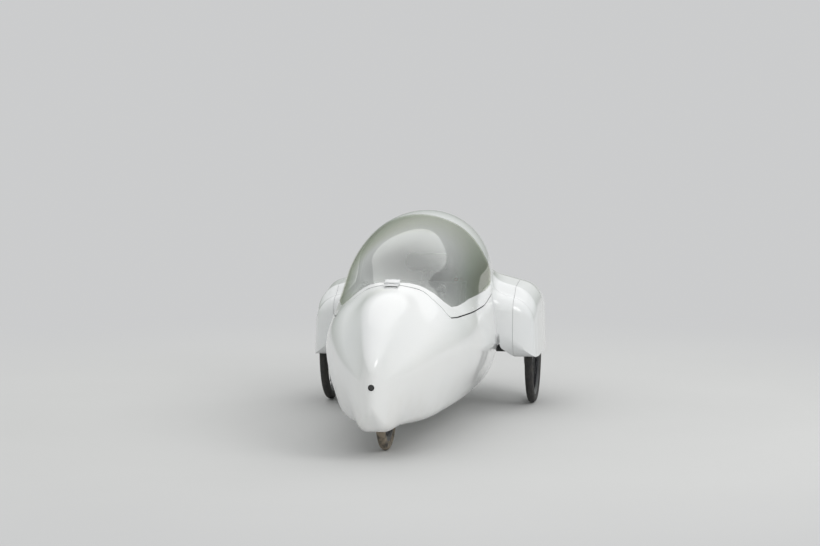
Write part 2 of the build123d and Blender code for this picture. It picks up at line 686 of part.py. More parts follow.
ARM_LENGTH = 115.0
ARM_RISE = 8.0
arm_way = Vector(0, ARM_LENGTH, ARM_RISE).normalized()
with BuildPart() as handlebar:
    with BuildLine() as bar_line:
        FilletPolyline(
            (-GRIP_HALF_SPAN, BAR_CENTRE.Y + ARM_LENGTH, BAR_CENTRE.Z + ARM_RISE),
            (-GRIP_HALF_SPAN, BAR_CENTRE.Y, BAR_CENTRE.Z),
            (GRIP_HALF_SPAN, BAR_CENTRE.Y, BAR_CENTRE.Z),
            (GRIP_HALF_SPAN, BAR_CENTRE.Y + ARM_LENGTH, BAR_CENTRE.Z + ARM_RISE),
            radius=32,
        )
    with BuildSketch(Plane(origin=bar_line.line @ 0, z_dir=bar_line.line % 0)):
        Circle(BAR_RADIUS)
    sweep()
save("handlebar", handlebar.part)
for name, side in (("left_grip", 1), ("right_grip", -1)):
    end = Vector(side * GRIP_HALF_SPAN, BAR_CENTRE.Y + ARM_LENGTH, BAR_CENTRE.Z + ARM_RISE)
    with BuildPart() as grip:
        with BuildSketch(Plane(origin=end + arm_way * 2, z_dir=arm_way * -1)):
            Circle(GRIP_RADIUS)
        extrude(amount=GRIP_LENGTH)
        with BuildSketch(Plane(origin=end, z_dir=arm_way * -1)):
            Circle(BAR_RADIUS + RUNNING_FIT)
        extrude(amount=GRIP_LENGTH, mode=Mode.SUBTRACT)
    save(name, grip.part)
    with BuildPart() as lever:
        with BuildSketch(Plane(origin=end - arm_way * (GRIP_LENGTH + 2), z_dir=arm_way * -1)):
            Circle(BAR_RADIUS + 5)
        extrude(amount=14)
        with BuildSketch(Plane.YZ.offset(end.X - 4)):
            with BuildLine():
                Polyline(
                    (end.Y - GRIP_LENGTH - 15, end.Z - 16),
                    (end.Y - GRIP_LENGTH - 3, end.Z - 16),
                    (end.Y - GRIP_LENGTH + 4, end.Z - 30),
                    (end.Y - 12, end.Z - 32),
                    (end.Y - 12, end.Z - 38),
                    (end.Y - GRIP_LENGTH - 4, end.Z - 38),
                    close=True,
                )
            make_face()
        extrude(amount=8)
        with BuildSketch(Plane(origin=end, z_dir=arm_way * -1)):
            Circle(BAR_RADIUS + RUNNING_FIT)
        extrude(amount=GRIP_LENGTH + 20, mode=Mode.SUBTRACT)
    save(name.replace("grip", "brake_lever"), lever.part)

# Frame: bent spine with head tube, crank shell, column tube and the yoke on the rear beam.
DRIVE_X = -46.0
SPROCKET_RADIUS = 38.0
CHAIN_HEIGHT = 7.0
CHAIN_WIDTH = 6.0
CHAIN_FIT = 0.2
WHEEL_THICKNESS = 3.0
IDLER_RADIUS = 18.0
IDLER_PIN = 4.0
CHAIN_HIGH = 188.0
CHAIN_LOW = 141.0
SPINE_END = 1480.0
HIGH_IDLERS = (CRANK_STATION + 265, SPINE_END - 55)
LOW_IDLERS = (CRANK_STATION + 210, SPINE_END - 105)
YOKE_GAP = 38.0
YOKE_PLATE = 6.0
YOKE_REACH = 62.0
YOKE_HEIGHT = 100.0
BEAM_HALF = PANEL_X - 6
SHAFT_RADIUS = REAR_AXLE_RADIUS


def cross_bar(start, end, radius, y=REAR_AXLE_Y, z=REAR_TYRE_RADIUS):
    with BuildPart() as bar:
        with BuildSketch(Plane.YZ.offset(min(start, end))):
            with Locations((y, z)):
                Circle(radius)
        extrude(amount=abs(end - start))
    return bar.part


head_start = Vector(*FRONT_AXLE) + Vector(*LEAN) * (HEAD_TUBE_START + HEAD_TUBE_LENGTH / 2)
yoke_edge = REAR_AXLE_Y + YOKE_REACH
with BuildPart() as spine_frame:
    with BuildLine() as spine_line:
        FilletPolyline(
            (0, head_start.Y + 10, head_start.Z),
            (0, CRANK_Y - 30, CRANK_HEIGHT + 20),
            (0, CRANK_Y + 95, CRANK_HEIGHT - 90),
            (0, CRANK_Y + 220, SPINE_HEIGHT),
            (0, at(SPINE_END), SPINE_HEIGHT),
            (0, REAR_AXLE_Y, REAR_TYRE_RADIUS),
            radius=60,
        )
    with BuildSketch(Plane(origin=spine_line.line @ 0, z_dir=spine_line.line % 0)):
        Circle(SPINE_RADIUS)
    sweep()
    add(lean_bar(FRONT_AXLE, HEAD_TUBE_START, HEAD_TUBE_START + HEAD_TUBE_LENGTH, HEAD_TUBE_RADIUS))
    add(lean_bar(COLUMN_FOOT, -10, COLUMN_TUBE, COLUMN_RADIUS + 5))
    for station in HIGH_IDLERS:
        with BuildSketch(Plane.YZ.offset(-SPINE_RADIUS - 2)):
            with Locations((at(station), (SPINE_HEIGHT + CHAIN_HIGH + IDLER_RADIUS) / 2)):
                Rectangle(22, CHAIN_HIGH + IDLER_RADIUS - SPINE_HEIGHT + 16)
        extrude(amount=5)
        add(cross_bar(-SPINE_RADIUS, DRIVE_X - 6, IDLER_PIN, at(station), CHAIN_HIGH + IDLER_RADIUS))
    for station in LOW_IDLERS:
        add(cross_bar(-SPINE_RADIUS + 8, DRIVE_X - 6, IDLER_PIN, at(station), CHAIN_LOW + IDLER_RADIUS))
    with BuildSketch(Plane.YZ.offset(-34)):
        with Locations((CRANK_Y, CRANK_HEIGHT)):
            Circle(20)
    extrude(amount=68)
    with BuildSketch(Plane.YZ.offset(-BEAM_HALF)):
        with Locations((REAR_AXLE_Y, REAR_TYRE_RADIUS)):
            Circle(BEAM_RADIUS)
    extrude(amount=2 * BEAM_HALF)
    with BuildSketch(Plane.YZ.offset(DRIVE_X - YOKE_GAP / 2)):
        with Locations((REAR_AXLE_Y, REAR_TYRE_RADIUS)):
            Circle(SPROCKET_RADIUS + 12)
    extrude(amount=YOKE_GAP, mode=Mode.SUBTRACT)
    for start in (DRIVE_X - YOKE_GAP / 2 - YOKE_PLATE, DRIVE_X + YOKE_GAP / 2):
        with BuildSketch(Plane.YZ.offset(start)):
            with Locations((REAR_AXLE_Y + YOKE_REACH / 2 - 10, REAR_TYRE_RADIUS)):
                Rectangle(YOKE_REACH + 20, YOKE_HEIGHT)
        extrude(amount=YOKE_PLATE)
    with BuildSketch(Plane.YZ.offset(DRIVE_X - YOKE_GAP / 2)):
        with Locations((yoke_edge - YOKE_PLATE / 2, REAR_TYRE_RADIUS)):
            Rectangle(YOKE_PLATE, YOKE_HEIGHT)
    extrude(amount=YOKE_GAP)
    add(
        lean_bar(FRONT_AXLE, HEAD_TUBE_START, HEAD_TUBE_START + 120, STEERER_RADIUS + RUNNING_FIT),
        mode=Mode.SUBTRACT,
    )
    add(lean_bar(COLUMN_FOOT, 16, 260, COLUMN_RADIUS + RUNNING_FIT), mode=Mode.SUBTRACT)
    with BuildSketch(Plane.YZ.offset(-40)):
        with Locations((CRANK_Y, CRANK_HEIGHT)):
            Circle(9 + RUNNING_FIT)
    extrude(amount=80, mode=Mode.SUBTRACT)
    with BuildSketch(Plane.YZ.offset(-BEAM_HALF)):
        with Locations((REAR_AXLE_Y, REAR_TYRE_RADIUS)):
            Circle(SHAFT_RADIUS + RUNNING_FIT)
    extrude(amount=2 * BEAM_HALF, mode=Mode.SUBTRACT)
save("spine_frame", spine_frame.part)

# Rear stub axles: the driving right shaft carries the sprocket, the left one stands still.
SHAFT_TIP = HALF_TRACK + REAR_HUB_WIDTH / 2 + 8
COLLAR = 10.0


hub_face = HALF_TRACK - REAR_HUB_WIDTH / 2
with BuildPart() as left_stub_axle:
    add(cross_bar(BEAM_HALF - 120, SHAFT_TIP, SHAFT_RADIUS))
    add(cross_bar(BEAM_HALF + 0.3, BEAM_HALF + COLLAR, SHAFT_RADIUS + 5))
    add(cross_bar(SHAFT_TIP - 6, SHAFT_TIP, SHAFT_RADIUS + 4))
save("left_stub_axle", left_stub_axle.part)
with BuildPart() as drive_shaft:
    add(cross_bar(DRIVE_X + 12, -SHAFT_TIP, SHAFT_RADIUS))
    add(cross_bar(-SHAFT_TIP + 6, -SHAFT_TIP, SHAFT_RADIUS + 4))
save("drive_shaft", drive_shaft.part)


def chain_wheel(x, y, z, radius, bore, holes):
    """A chain wheel that fills the chain's inside; radius is that of the chain's centre line."""
    with BuildPart() as wheel:
        with BuildSketch(Plane.YZ.offset(x - WHEEL_THICKNESS / 2)):
            with Locations((y, z)):
                Circle(radius - CHAIN_HEIGHT / 2 - CHAIN_FIT)
                Circle(bore, mode=Mode.SUBTRACT)
                if holes:
                    with PolarLocations(radius * 0.6, holes):
                        Circle(radius / 6, mode=Mode.SUBTRACT)
        extrude(amount=WHEEL_THICKNESS)
    return wheel.part


with BuildPart() as drive_sprocket:
    add(chain_wheel(DRIVE_X, REAR_AXLE_Y, REAR_TYRE_RADIUS, SPROCKET_RADIUS, 14, 0))
    add(cross_bar(DRIVE_X - 8, DRIVE_X + 8, 15))
    add(cross_bar(DRIVE_X - 9, DRIVE_X + 9, SHAFT_RADIUS + RUNNING_FIT), mode=Mode.SUBTRACT)
save("drive_sprocket", drive_sprocket.part)

# Chain: a closed loop round the chain wheels, held down under the seat by two pairs of idlers.
CHAIN_WHEELS = [
    (CRANK_Y, CRANK_HEIGHT, CHAINRING_RADIUS, 1),
    (at(LOW_IDLERS[0]), CHAIN_LOW + IDLER_RADIUS, IDLER_RADIUS, 1),
    (at(LOW_IDLERS[1]), CHAIN_LOW + IDLER_RADIUS, IDLER_RADIUS, 1),
    (REAR_AXLE_Y, REAR_TYRE_RADIUS, SPROCKET_RADIUS, 1),
    (at(HIGH_IDLERS[1]), CHAIN_HIGH + IDLER_RADIUS, IDLER_RADIUS, -1),
    (at(HIGH_IDLERS[0]), CHAIN_HIGH + IDLER_RADIUS, IDLER_RADIUS, -1),
]


def chain_edge(side):
    """One edge of the chain band; side is 1 outside the loop and -1 inside. Drawn in a BuildLine."""
    rounds = [(Vector(y, z), turn * radius + side * CHAIN_HEIGHT / 2) for y, z, radius, turn in CHAIN_WHEELS]
    touch = []
    for k, (here, reach) in enumerate(rounds):
        there, far = rounds[(k + 1) % len(rounds)]
        way = there - here
        lean = asin((far - reach) / way.length)
        course = atan2(way.Y, way.X) - lean
        normal = Vector(sin(course), -cos(course))
        touch.append((here + normal * reach, there + normal * far))
    for k, (leave, reach_next) in enumerate(touch):
        Line(leave, reach_next)
        centre, reach = rounds[(k + 1) % len(rounds)]
        next_leave = touch[(k + 1) % len(rounds)][0]
        first = reach_next - centre
        last = next_leave - centre
        course = atan2(first.Y, first.X)
        wrap = (atan2(last.Y, last.X) - course) % (2 * pi)
        if reach < 0:
            wrap -= 2 * pi
        middle = course + wrap / 2
        ThreePointArc(reach_next, on_arc((centre.X, centre.Y), middle, abs(reach)), next_leave)


with BuildPart() as chain:
    with BuildSketch(Plane.YZ.offset(DRIVE_X - CHAIN_WIDTH / 2)):
        with BuildLine():
            chain_edge(1)
        make_face()
        with BuildLine():
            chain_edge(-1)
        make_face(mode=Mode.SUBTRACT)
    extrude(amount=CHAIN_WIDTH)
save("chain", chain.part)
for name, stations, run in (("high", HIGH_IDLERS, CHAIN_HIGH), ("low", LOW_IDLERS, CHAIN_LOW)):
    for place, station in zip(("front", "rear"), stations):
        idler = chain_wheel(DRIVE_X, at(station), run + IDLER_RADIUS, IDLER_RADIUS, IDLER_PIN + RUNNING_FIT, 0)
        save(place + "_" + name + "_idler", idler)

# Disc brakes inboard of the rear wheels, each with its carrier plate on the beam and a caliper.
DISC_X = hub_face - 9
CALIPER_RADIUS = 66.0
CALIPER_TURN = -16.0
CALIPER_HALF = 14.0
PLATE = 7.0
with BuildPart() as left_disc:
    with BuildSketch(Plane.YZ.offset(DISC_X - DISC_THICKNESS / 2)):
        with Locations((REAR_AXLE_Y, REAR_TYRE_RADIUS)):
            Circle(DISC_RADIUS)
            Circle(DISC_RADIUS - 20, mode=Mode.SUBTRACT)
            Circle(20)
            with PolarLocations(0, 6):
                with Locations((DISC_RADIUS / 2, 0)):
                    Rectangle(DISC_RADIUS - 30, 8)
    extrude(amount=DISC_THICKNESS)
    add(cross_bar(DISC_X, hub_face, 17))
    add(cross_bar(DISC_X - 5, hub_face, SHAFT_RADIUS + RUNNING_FIT), mode=Mode.SUBTRACT)
save("left_disc", left_disc.part)
save("right_disc", mirrored(left_disc.part))
caliper_y = REAR_AXLE_Y + CALIPER_RADIUS * cos(radians(CALIPER_TURN))
caliper_z = REAR_TYRE_RADIUS + CALIPER_RADIUS * sin(radians(CALIPER_TURN))
caliper_plane = Plane(origin=(0, caliper_y, caliper_z), x_dir=(0, 1, 0), z_dir=(1, 0, 0))
plate_start = BEAM_HALF - PLATE
with BuildPart() as left_axle_plate:
    with BuildSketch(Plane.YZ.offset(plate_start)):
        with Locations((REAR_AXLE_Y, REAR_TYRE_RADIUS)):
            Circle(BEAM_RADIUS + 12)
        with BuildLine():
            Polyline(
                (REAR_AXLE_Y - 18, REAR_TYRE_RADIUS - 22),
                (caliper_y - 8, caliper_z - 22),
                (caliper_y + 20, caliper_z - 10),
                (caliper_y + 20, caliper_z + 12),
                (REAR_AXLE_Y, REAR_TYRE_RADIUS + 26),
                close=True,
            )
        make_face()
        with Locations((REAR_AXLE_Y, REAR_TYRE_RADIUS)):
            Circle(BEAM_RADIUS + RUNNING_FIT, mode=Mode.SUBTRACT)
    extrude(amount=PLATE)
save("left_axle_plate", left_axle_plate.part)
save("right_axle_plate", mirrored(left_axle_plate.part))
caliper_end = DISC_X + 10
with BuildPart() as left_caliper:
    with BuildSketch(caliper_plane.offset(BEAM_HALF)):
        RectangleRounded(3 * CALIPER_HALF, 2 * CALIPER_HALF, 6)
    extrude(amount=caliper_end - BEAM_HALF)
    with BuildSketch(caliper_plane.offset(DISC_X - 3.5)):
        with Locations((-CALIPER_HALF / 2 - 1, 0)):
            Rectangle(3.8 * CALIPER_HALF, 3 * CALIPER_HALF)
    extrude(amount=7, mode=Mode.SUBTRACT)
save("left_caliper", left_caliper.part)
save("right_caliper", mirrored(left_caliper.part))

# Crankset with its chain wheel and pedals.
CRANK_AXLE = 9.0
ARM_INSIDE = 62.0
ARM_THICKNESS = 10.0
PEDAL_START = ARM_INSIDE + ARM_THICKNESS + 6
PEDAL_SIZE = (66, 16)
PEDAL_SPAN = 68.0
with BuildPart() as crankset:
    add(cross_bar(-ARM_INSIDE - 4, ARM_INSIDE + 4, CRANK_AXLE, CRANK_Y, CRANK_HEIGHT))
    add(cross_bar(DRIVE_X - 12, DRIVE_X - 1.5, 24, CRANK_Y, CRANK_HEIGHT))
    for side in (-1, 1):
        pedal_y = CRANK_Y + side * CRANK_LENGTH
        start = ARM_INSIDE if side > 0 else -ARM_INSIDE - ARM_THICKNESS
        with BuildSketch(Plane.YZ.offset(start)):
            with BuildLine():
                Polyline(
                    (CRANK_Y, CRANK_HEIGHT - 15),
                    (pedal_y, CRANK_HEIGHT - 11),
                    (pedal_y, CRANK_HEIGHT + 11),
                    (CRANK_Y, CRANK_HEIGHT + 15),
                    close=True,
                )
            make_face()
            with Locations((CRANK_Y, CRANK_HEIGHT)):
                Circle(15)
            with Locations((pedal_y, CRANK_HEIGHT)):
                Circle(11)
        extrude(amount=ARM_THICKNESS)
        add(cross_bar(side * ARM_INSIDE, side * (PEDAL_START + PEDAL_SPAN), 5, pedal_y, CRANK_HEIGHT))
save("crankset", crankset.part)
save("chainring", chain_wheel(DRIVE_X, CRANK_Y, CRANK_HEIGHT, CHAINRING_RADIUS, CRANK_AXLE + RUNNING_FIT, 5))
for name, side in (("left_pedal", 1), ("right_pedal", -1)):
    pedal_y = CRANK_Y + side * CRANK_LENGTH
    start = PEDAL_START if side > 0 else -PEDAL_START - PEDAL_SPAN
    with BuildPart() as pedal:
        with BuildSketch(Plane.YZ.offset(start)):
            with Locations((pedal_y, CRANK_HEIGHT)):
                RectangleRounded(*PEDAL_SIZE, 5)
                Circle(5 + RUNNING_FIT, mode=Mode.SUBTRACT)
        extrude(amount=PEDAL_SPAN)
        with BuildSketch(Plane.XY.offset(CRANK_HEIGHT - 20)):
            for place in (-1, 1):
                with Locations((start + PEDAL_SPAN / 2, pedal_y + place * 20)):
                    RectangleRounded(PEDAL_SPAN - 24, 14, 4)
        extrude(amount=40, mode=Mode.SUBTRACT)
    save(name, pedal.part)

# Seat: a bent shell on two struts, with a soft pad and a headrest.
SEAT_LINE = [(1050, 226), (1110, 204), (1345, 204), (1652, 560)]
SEAT_SHELL = 6.0
SEAT_WIDTH = 370.0
PAD_THICKNESS = 26.0
PAD_GAP = 0.3
PAD_WIDTH = 340.0


def ribbon(points, low, high, width, trim, bends):
    """A strip along side view points, between two heights above them, rounded at the bends."""
    spots = [Vector(at(u), z) for u, z in points]
    spots[0] = spots[0] + (spots[1] - spots[0]).normalized() * trim
    spots[-1] = spots[-1] + (spots[-2] - spots[-1]).normalized() * trim
    edges = []
    for level in (low, high):
        row = []
        for k, here in enumerate(spots):
            way_in = (here - spots[max(k - 1, 0)]) if k else (spots[1] - here)
            way_out = (spots[k + 1] - here) if k + 1 < len(spots) else way_in
            normals = [Vector(-way.Y, way.X).normalized() for way in (way_in, way_out)]
            middle = (normals[0] + normals[1]).normalized()
            row.append(here + middle * (level / middle.dot(normals[0])))
        edges.append(row)
    with BuildPart() as strip:
        with BuildSketch(Plane.YZ) as side:
            with BuildLine():
                ring = edges[0] + list(reversed(edges[1]))
                Polyline(*[(p.X, p.Y) for p in ring], close=True)
            make_face()
            for k, radius in bends:
                for row, level in zip(edges, (low, high)):
                    corner = side.vertices().sort_by_distance((row[k].X, row[k].Y))[0]
                    fillet([corner], radius=radius - level)
        extrude(amount=width / 2, both=True)
    return strip.part


seat_bends = ((1, 90), (2, 110))
with BuildPart() as seat_shell:
    add(ribbon(SEAT_LINE, 0, SEAT_SHELL, SEAT_WIDTH, 0, seat_bends))
save("seat_shell", seat_shell.part)
pad_low = SEAT_SHELL + PAD_GAP
save("seat_pad", ribbon(SEAT_LINE, pad_low, pad_low + PAD_THICKNESS, PAD_WIDTH, 12, seat_bends))

head_way = Vector(at(SEAT_LINE[3][0]) - at(SEAT_LINE[2][0]), SEAT_LINE[3][1] - SEAT_LINE[2][1]).normalized()
seat_top = Vector(0, at(SEAT_LINE[3][0]), SEAT_LINE[3][1])
HEADREST_RISE = 95.0
HEADREST_SIZE = (190, 90, 34)
back_normal = Vector(0, -head_way.Y, head_way.X)
head_plane = Plane(
    origin=seat_top + Vector(0, head_way.X, head_way.Y) * HEADREST_RISE,
    x_dir=(1, 0, 0),
    z_dir=back_normal,
)
with BuildPart() as headrest:
    with BuildSketch(head_plane.offset(PAD_GAP)):
        RectangleRounded(HEADREST_SIZE[0], HEADREST_SIZE[1], 30)
    extrude(amount=HEADREST_SIZE[2])
save("headrest", headrest.part)
with BuildPart() as headrest_bracket:
    with BuildSketch(head_plane.offset(-4)):
        Rectangle(60, 60)
        with Locations((0, -HEADREST_RISE / 2 - 30)):
            Rectangle(28, HEADREST_RISE + 60)
    extrude(amount=4)
save("headrest_bracket", headrest_bracket.part)

STRUT_WIDTH = 30.0
STRUT_SPAN = 70.0
with BuildPart() as seat_struts:
    for station in (SEAT_LINE[1][0] + 30, SEAT_LINE[2][0] - 35):
        with BuildSketch(Plane.XZ.offset(-at(station))):
            with Locations((0, (SPINE_HEIGHT + SEAT_LINE[1][1]) / 2)):
                Rectangle(STRUT_SPAN, SEAT_LINE[1][1] - SPINE_HEIGHT)
            with Locations((0, SPINE_HEIGHT)):
                Circle(SPINE_RADIUS + RUNNING_FIT, mode=Mode.SUBTRACT)
        extrude(amount=STRUT_WIDTH / 2, both=True)
save("seat_struts", seat_struts.part)

# Lamps set in the nose and in the tail.
LAMP_DEPTH = 46.0
LAMP_RECESS = 4.0
with BuildPart() as headlight:
    nose = Plane(origin=(0, at(LAMP_RECESS), HEADLIGHT_HEIGHT), x_dir=(1, 0, 0), z_dir=(0, 1, 0))
    with BuildSketch(nose):
        Circle(HEADLIGHT_RADIUS - 0.3)
    extrude(amount=LAMP_DEPTH)
    with BuildSketch(nose):
        Circle(HEADLIGHT_RADIUS - 3)
    extrude(amount=10, mode=Mode.SUBTRACT)
save("headlight", headlight.part)
with BuildPart() as tail_light:
    tail = Plane(origin=(0, at(LENGTH), TAIL_LIGHT_HEIGHT), x_dir=(1, 0, 0), z_dir=(0, -1, 0))
    with BuildSketch(tail):
        Circle(TAIL_LIGHT_RADIUS - 0.3)
    extrude(amount=16)
save("tail_light", tail_light.part)
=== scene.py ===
import json
from math import acos, asin, atan2, cos, exp, pi, radians, sin, sqrt

import bmesh
import bpy
import numpy as np
from mathutils import Matrix, Vector


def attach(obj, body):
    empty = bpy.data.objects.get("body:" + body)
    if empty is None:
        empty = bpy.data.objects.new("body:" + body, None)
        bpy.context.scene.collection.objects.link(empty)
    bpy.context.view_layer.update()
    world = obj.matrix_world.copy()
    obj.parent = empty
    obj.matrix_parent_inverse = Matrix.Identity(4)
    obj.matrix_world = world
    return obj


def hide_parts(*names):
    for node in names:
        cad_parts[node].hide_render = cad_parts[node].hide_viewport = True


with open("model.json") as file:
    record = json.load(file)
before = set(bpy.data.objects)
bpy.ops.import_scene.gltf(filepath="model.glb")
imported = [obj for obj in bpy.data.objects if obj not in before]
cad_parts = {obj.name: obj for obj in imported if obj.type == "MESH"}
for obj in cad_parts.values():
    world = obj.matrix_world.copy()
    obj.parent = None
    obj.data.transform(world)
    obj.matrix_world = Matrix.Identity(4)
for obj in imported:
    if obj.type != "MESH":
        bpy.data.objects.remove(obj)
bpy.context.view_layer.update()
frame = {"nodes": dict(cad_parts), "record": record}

# Sizes in millimetres. They follow the model's source, but the roof is about 14 mm lower, the pods
# are rounder and the seam and the glass have outlines of their own. Stations count from the nose
# tip backwards.
LENGTH = 2840.0
FRONT_AXLE = (0.0, 417.0, 214.5)
REAR_AXLE_STATION = 1877.0
REAR_TYRE_RADIUS = 243.0
HALF_TRACK = 460.0
TYRE_WIDTH = 38.0
SHELL = 5.0
GLASS = 3.0

# Station, half width, height of the widest line, floor and roof, then the radii of the upper side,
# the roof, the lower side and the bilge.
BODY_SECTIONS = [
    (0, 26, 300, 185, 395, 40, 20, 900, 14),
    (60, 64, 320, 135, 450, 80, 42, 900, 30),
    (200, 137, 345, 118, 548, 130, 80, 450, 50),
    (420, 220, 376, 116, 624, 190, 135, 600, 70),
    (620, 274, 385, 116, 660, 223, 170, 500, 78),
    (820, 306, 370, 117, 758, 290, 225, 400, 85),
    (1080, 327, 345, 119, 832, 350, 274, 330, 90),
    (1400, 330, 325, 121, 870, 380, 294, 300, 90),
    (1760, 312, 322, 130, 872, 380, 286, 300, 85),
    (2120, 232, 365, 180, 803, 300, 188, 270, 78),
    (2480, 122, 420, 285, 655, 150, 92, 190, 45),
    (2720, 52, 452, 378, 548, 60, 40, 120, 22),
    (2840, 18, 462, 424, 500, 24, 14, 70, 10),
]

# Station, height of the wing's top at WING_ROOT, the outer corner's x and height, the skirt's x and
# height, height of the underside and the corner's radius.
POD_SECTIONS = [
    (1545, 500, 350, 440, 352, 345, 352, 24),
    (1612, 575, 482, 470, 493, 236, 306, 76),
    (1700, 634, 490, 515, 500, 230, 300, 78),
    (1900, 652, 494, 526, 503, 230, 300, 64),
    (2155, 622, 482, 500, 492, 240, 305, 62),
    (2298.85, 590, 430, 455, 440, 290, 330, 40),
    (2518.05, 540, 240, 440, 246, 372, 378, 20),
]

# Corners of the canopy's seam and of the glass in side view: station, height and radius. Those at
# ABOVE lie over the roof.
ABOVE = 1000
SEAM = [
    (572, ABOVE, 0), (572, 646, 8), (640, 616, 24), (602, 512, 20), (702, 505, 60),
    (1250, 499, 0), (1648, 532, 60), (1678, 640, 0), (1798.96, ABOVE, 0),
]
GLASS_EDGE = [
    (598, ABOVE, 0), (600, 655, 10), (626, 650, 8), (658, 634, 12), (686, 601, 12), (694, 570, 8),
    (718, 545, 10), (786, 543, 60), (958, 557, 90), (1370, 555, 90), (1538, 567, 14),
    (1594, 617, 22), (1530, 684, 40), (1506, 749, 60), (1502, 817, 40), (1462, 861, 20),
    (1470, ABOVE, 0),
]
SEAM_GAP = 5.0
GLASS_GAP = 0.7

# Holes in the body
HEADLIGHT_HEIGHT = 303.0
HEADLIGHT_HOLE = 15.0
TAIL_LIGHT_HEIGHT = 462.0
TAIL_LIGHT_HOLE = 11.0
LAMP_REACH = 100.0
BEAM_HOLE = 17.0
HINGE_STATION = 572.0
NOTCH_HALF_WIDTH = 32.0
NOTCH_HALF_LENGTH = 6.0
NOTCH_LOWEST = 500.0
SLOT_CLEAR = 10.0
STEER_LIMIT = 16.0

# Side pods
PANEL_X = 398.0
PANEL_GAP = 1.2
POD_WALL = 6.0
POD_FULL = 1630.0
POD_SMOOTH = 1900.0
POD_SWELL = 3.0
WING_ROOT = 20.0
ROOT_PROBE = 300.0
ROOT_SINK = 2.5
TOP_FILLET_UP = 62.0
TOP_FILLET_OUT = 75.0
LOW_FILLET_DOWN = 38.0
LOW_FILLET_OUT = 55.0
FILLET_LEAD = 0.42
CORNER_REACH = 1.25
HEM_WIDTH = 92.0
BODY_CLEAR = 12.0
WELL_FRONT = 1624.0
WELL_REAR = 2146.0
WELL_BOTTOM = 100.0

# Tyres and grips. Each tyre: node, body, x, station and radius.
TYRES = [
    ("front_tyre", "front_wheel", *FRONT_AXLE),
    ("left_tyre", "left_rear_wheel", HALF_TRACK, REAR_AXLE_STATION, REAR_TYRE_RADIUS),
    ("right_tyre", "right_rear_wheel", -HALF_TRACK, REAR_AXLE_STATION, REAR_TYRE_RADIUS),
]
GRIP_END = (165.0, 960.93, 608.69)
GRIP_WAY = (0.0, 0.99759, 0.0694)
GRIP_RADIUS = 16.0
GRIP_LENGTH = 62.0


def metres(point):
    """(x, station, z) in millimetres to the row frame in metres."""
    return (point[0] / 1000, (point[1] - LENGTH / 2) / 1000, point[2] / 1000)


# Surfaces


def spline(xs, ys):
    """A natural cubic spline through rows of ys at xs, as a function of one number."""
    xs = np.array(xs, float)
    shape = np.shape(ys[0])
    ys = np.array(ys, float).reshape(len(xs), -1)
    n = len(xs)
    step = np.diff(xs)
    matrix = np.zeros((n, n))
    right = np.zeros_like(ys)
    matrix[0, 0] = matrix[-1, -1] = 1
    for k in range(1, n - 1):
        matrix[k, k - 1:k + 2] = (step[k - 1], 2 * (step[k - 1] + step[k]), step[k])
        right[k] = 6 * ((ys[k + 1] - ys[k]) / step[k] - (ys[k] - ys[k - 1]) / step[k - 1])
    bend = np.linalg.solve(matrix, right)

    def value(x):
        k = int(min(max(np.searchsorted(xs, x) - 1, 0), n - 2))
        h = step[k]
        a = (xs[k + 1] - x) / h
        b = (x - xs[k]) / h
        curve = ((a**3 - a) * bend[k] + (b**3 - b) * bend[k + 1]) * h * h / 6
        return (a * ys[k] + b * ys[k + 1] + curve).reshape(shape)

    return value


# Steps round the bilge, the lower side, the upper side and the roof.
ARC_STEPS = (7, 11, 15, 13)
BILGE_ARC = 0
ROOF_ARC = 3
FLOOR_STEPS = 6
FLANK_STEPS = 5

# The soft edge along the widest line, which grows with the body's width up to CREASE_FULL.
CREASE_RISE = 2.4
CREASE_REACH = 34.0
CREASE_FULL = 100.0


def half_ring(row):
    """Points of one half section from the floor's centre to the roof's centre."""
    _, half, widest, floor, roof, side_r, roof_r, low_r, bilge_r = row
    side_c = (half - side_r, widest)
    roof_c = (0, roof - roof_r)
    low_c = (half - low_r, widest)
    span = sqrt(side_c[0] ** 2 + (roof_c[1] - side_c[1]) ** 2)
    flank = atan2(roof_c[1] - side_c[1], -side_c[0]) - acos((side_r - roof_r) / span)
    rise = widest - floor - bilge_r
    bilge_x = low_c[0] + sqrt((low_r - bilge_r) ** 2 - rise**2)
    low_turn = -asin(rise / (low_r - bilge_r))
    arcs = [((bilge_x, floor + bilge_r), -pi / 2, low_turn, bilge_r), (low_c, low_turn, 0, low_r),
            (side_c, 0, flank, side_r), (roof_c, flank, pi / 2, roof_r)]
    ring = [(bilge_x * k / FLOOR_STEPS, floor) for k in range(FLOOR_STEPS)]
    for number, ((cx, cz), first, last, radius) in enumerate(arcs):
        steps = ARC_STEPS[number]
        points = []
        for k in range(steps + 1):
            turn = first + (last - first) * k / steps
            points.append((cx + radius * cos(turn), cz + radius * sin(turn)))
        if number == ROOF_ARC:
            start = ring[-1]
            for k in range(1, FLANK_STEPS):
                share = k / FLANK_STEPS
                ring.append((start[0] + (points[0][0] - start[0]) * share,
                             start[1] + (points[0][1] - start[1]) * share))
        ring += points if number in (BILGE_ARC, ROOF_ARC) else points[1:]
    crease = CREASE_RISE * min(1.0, half / CREASE_FULL)
    return [(x + crease * exp(-abs(z - widest) / CREASE_REACH) * (x > half * 0.5), z) for x, z in ring]


body_curve = spline([row[0] for row in BODY_SECTIONS], [half_ring(row) for row in BODY_SECTIONS])
NOSE_CAP = 48.0
NOSE_SPINE = (235, 350)
TAIL_CAP = 14.0
TAIL_SPINE = (445, 480)


def capped_ring(station, spine_heights, share):
    """The section at a station, drawn in towards an upright spine as over a rounded tip."""
    ring = body_curve(station)
    spine = np.stack([ring[:, 0] * 0, np.clip(ring[:, 1], *spine_heights)], axis=1)
    return spine + (ring - spine) * sqrt(share)


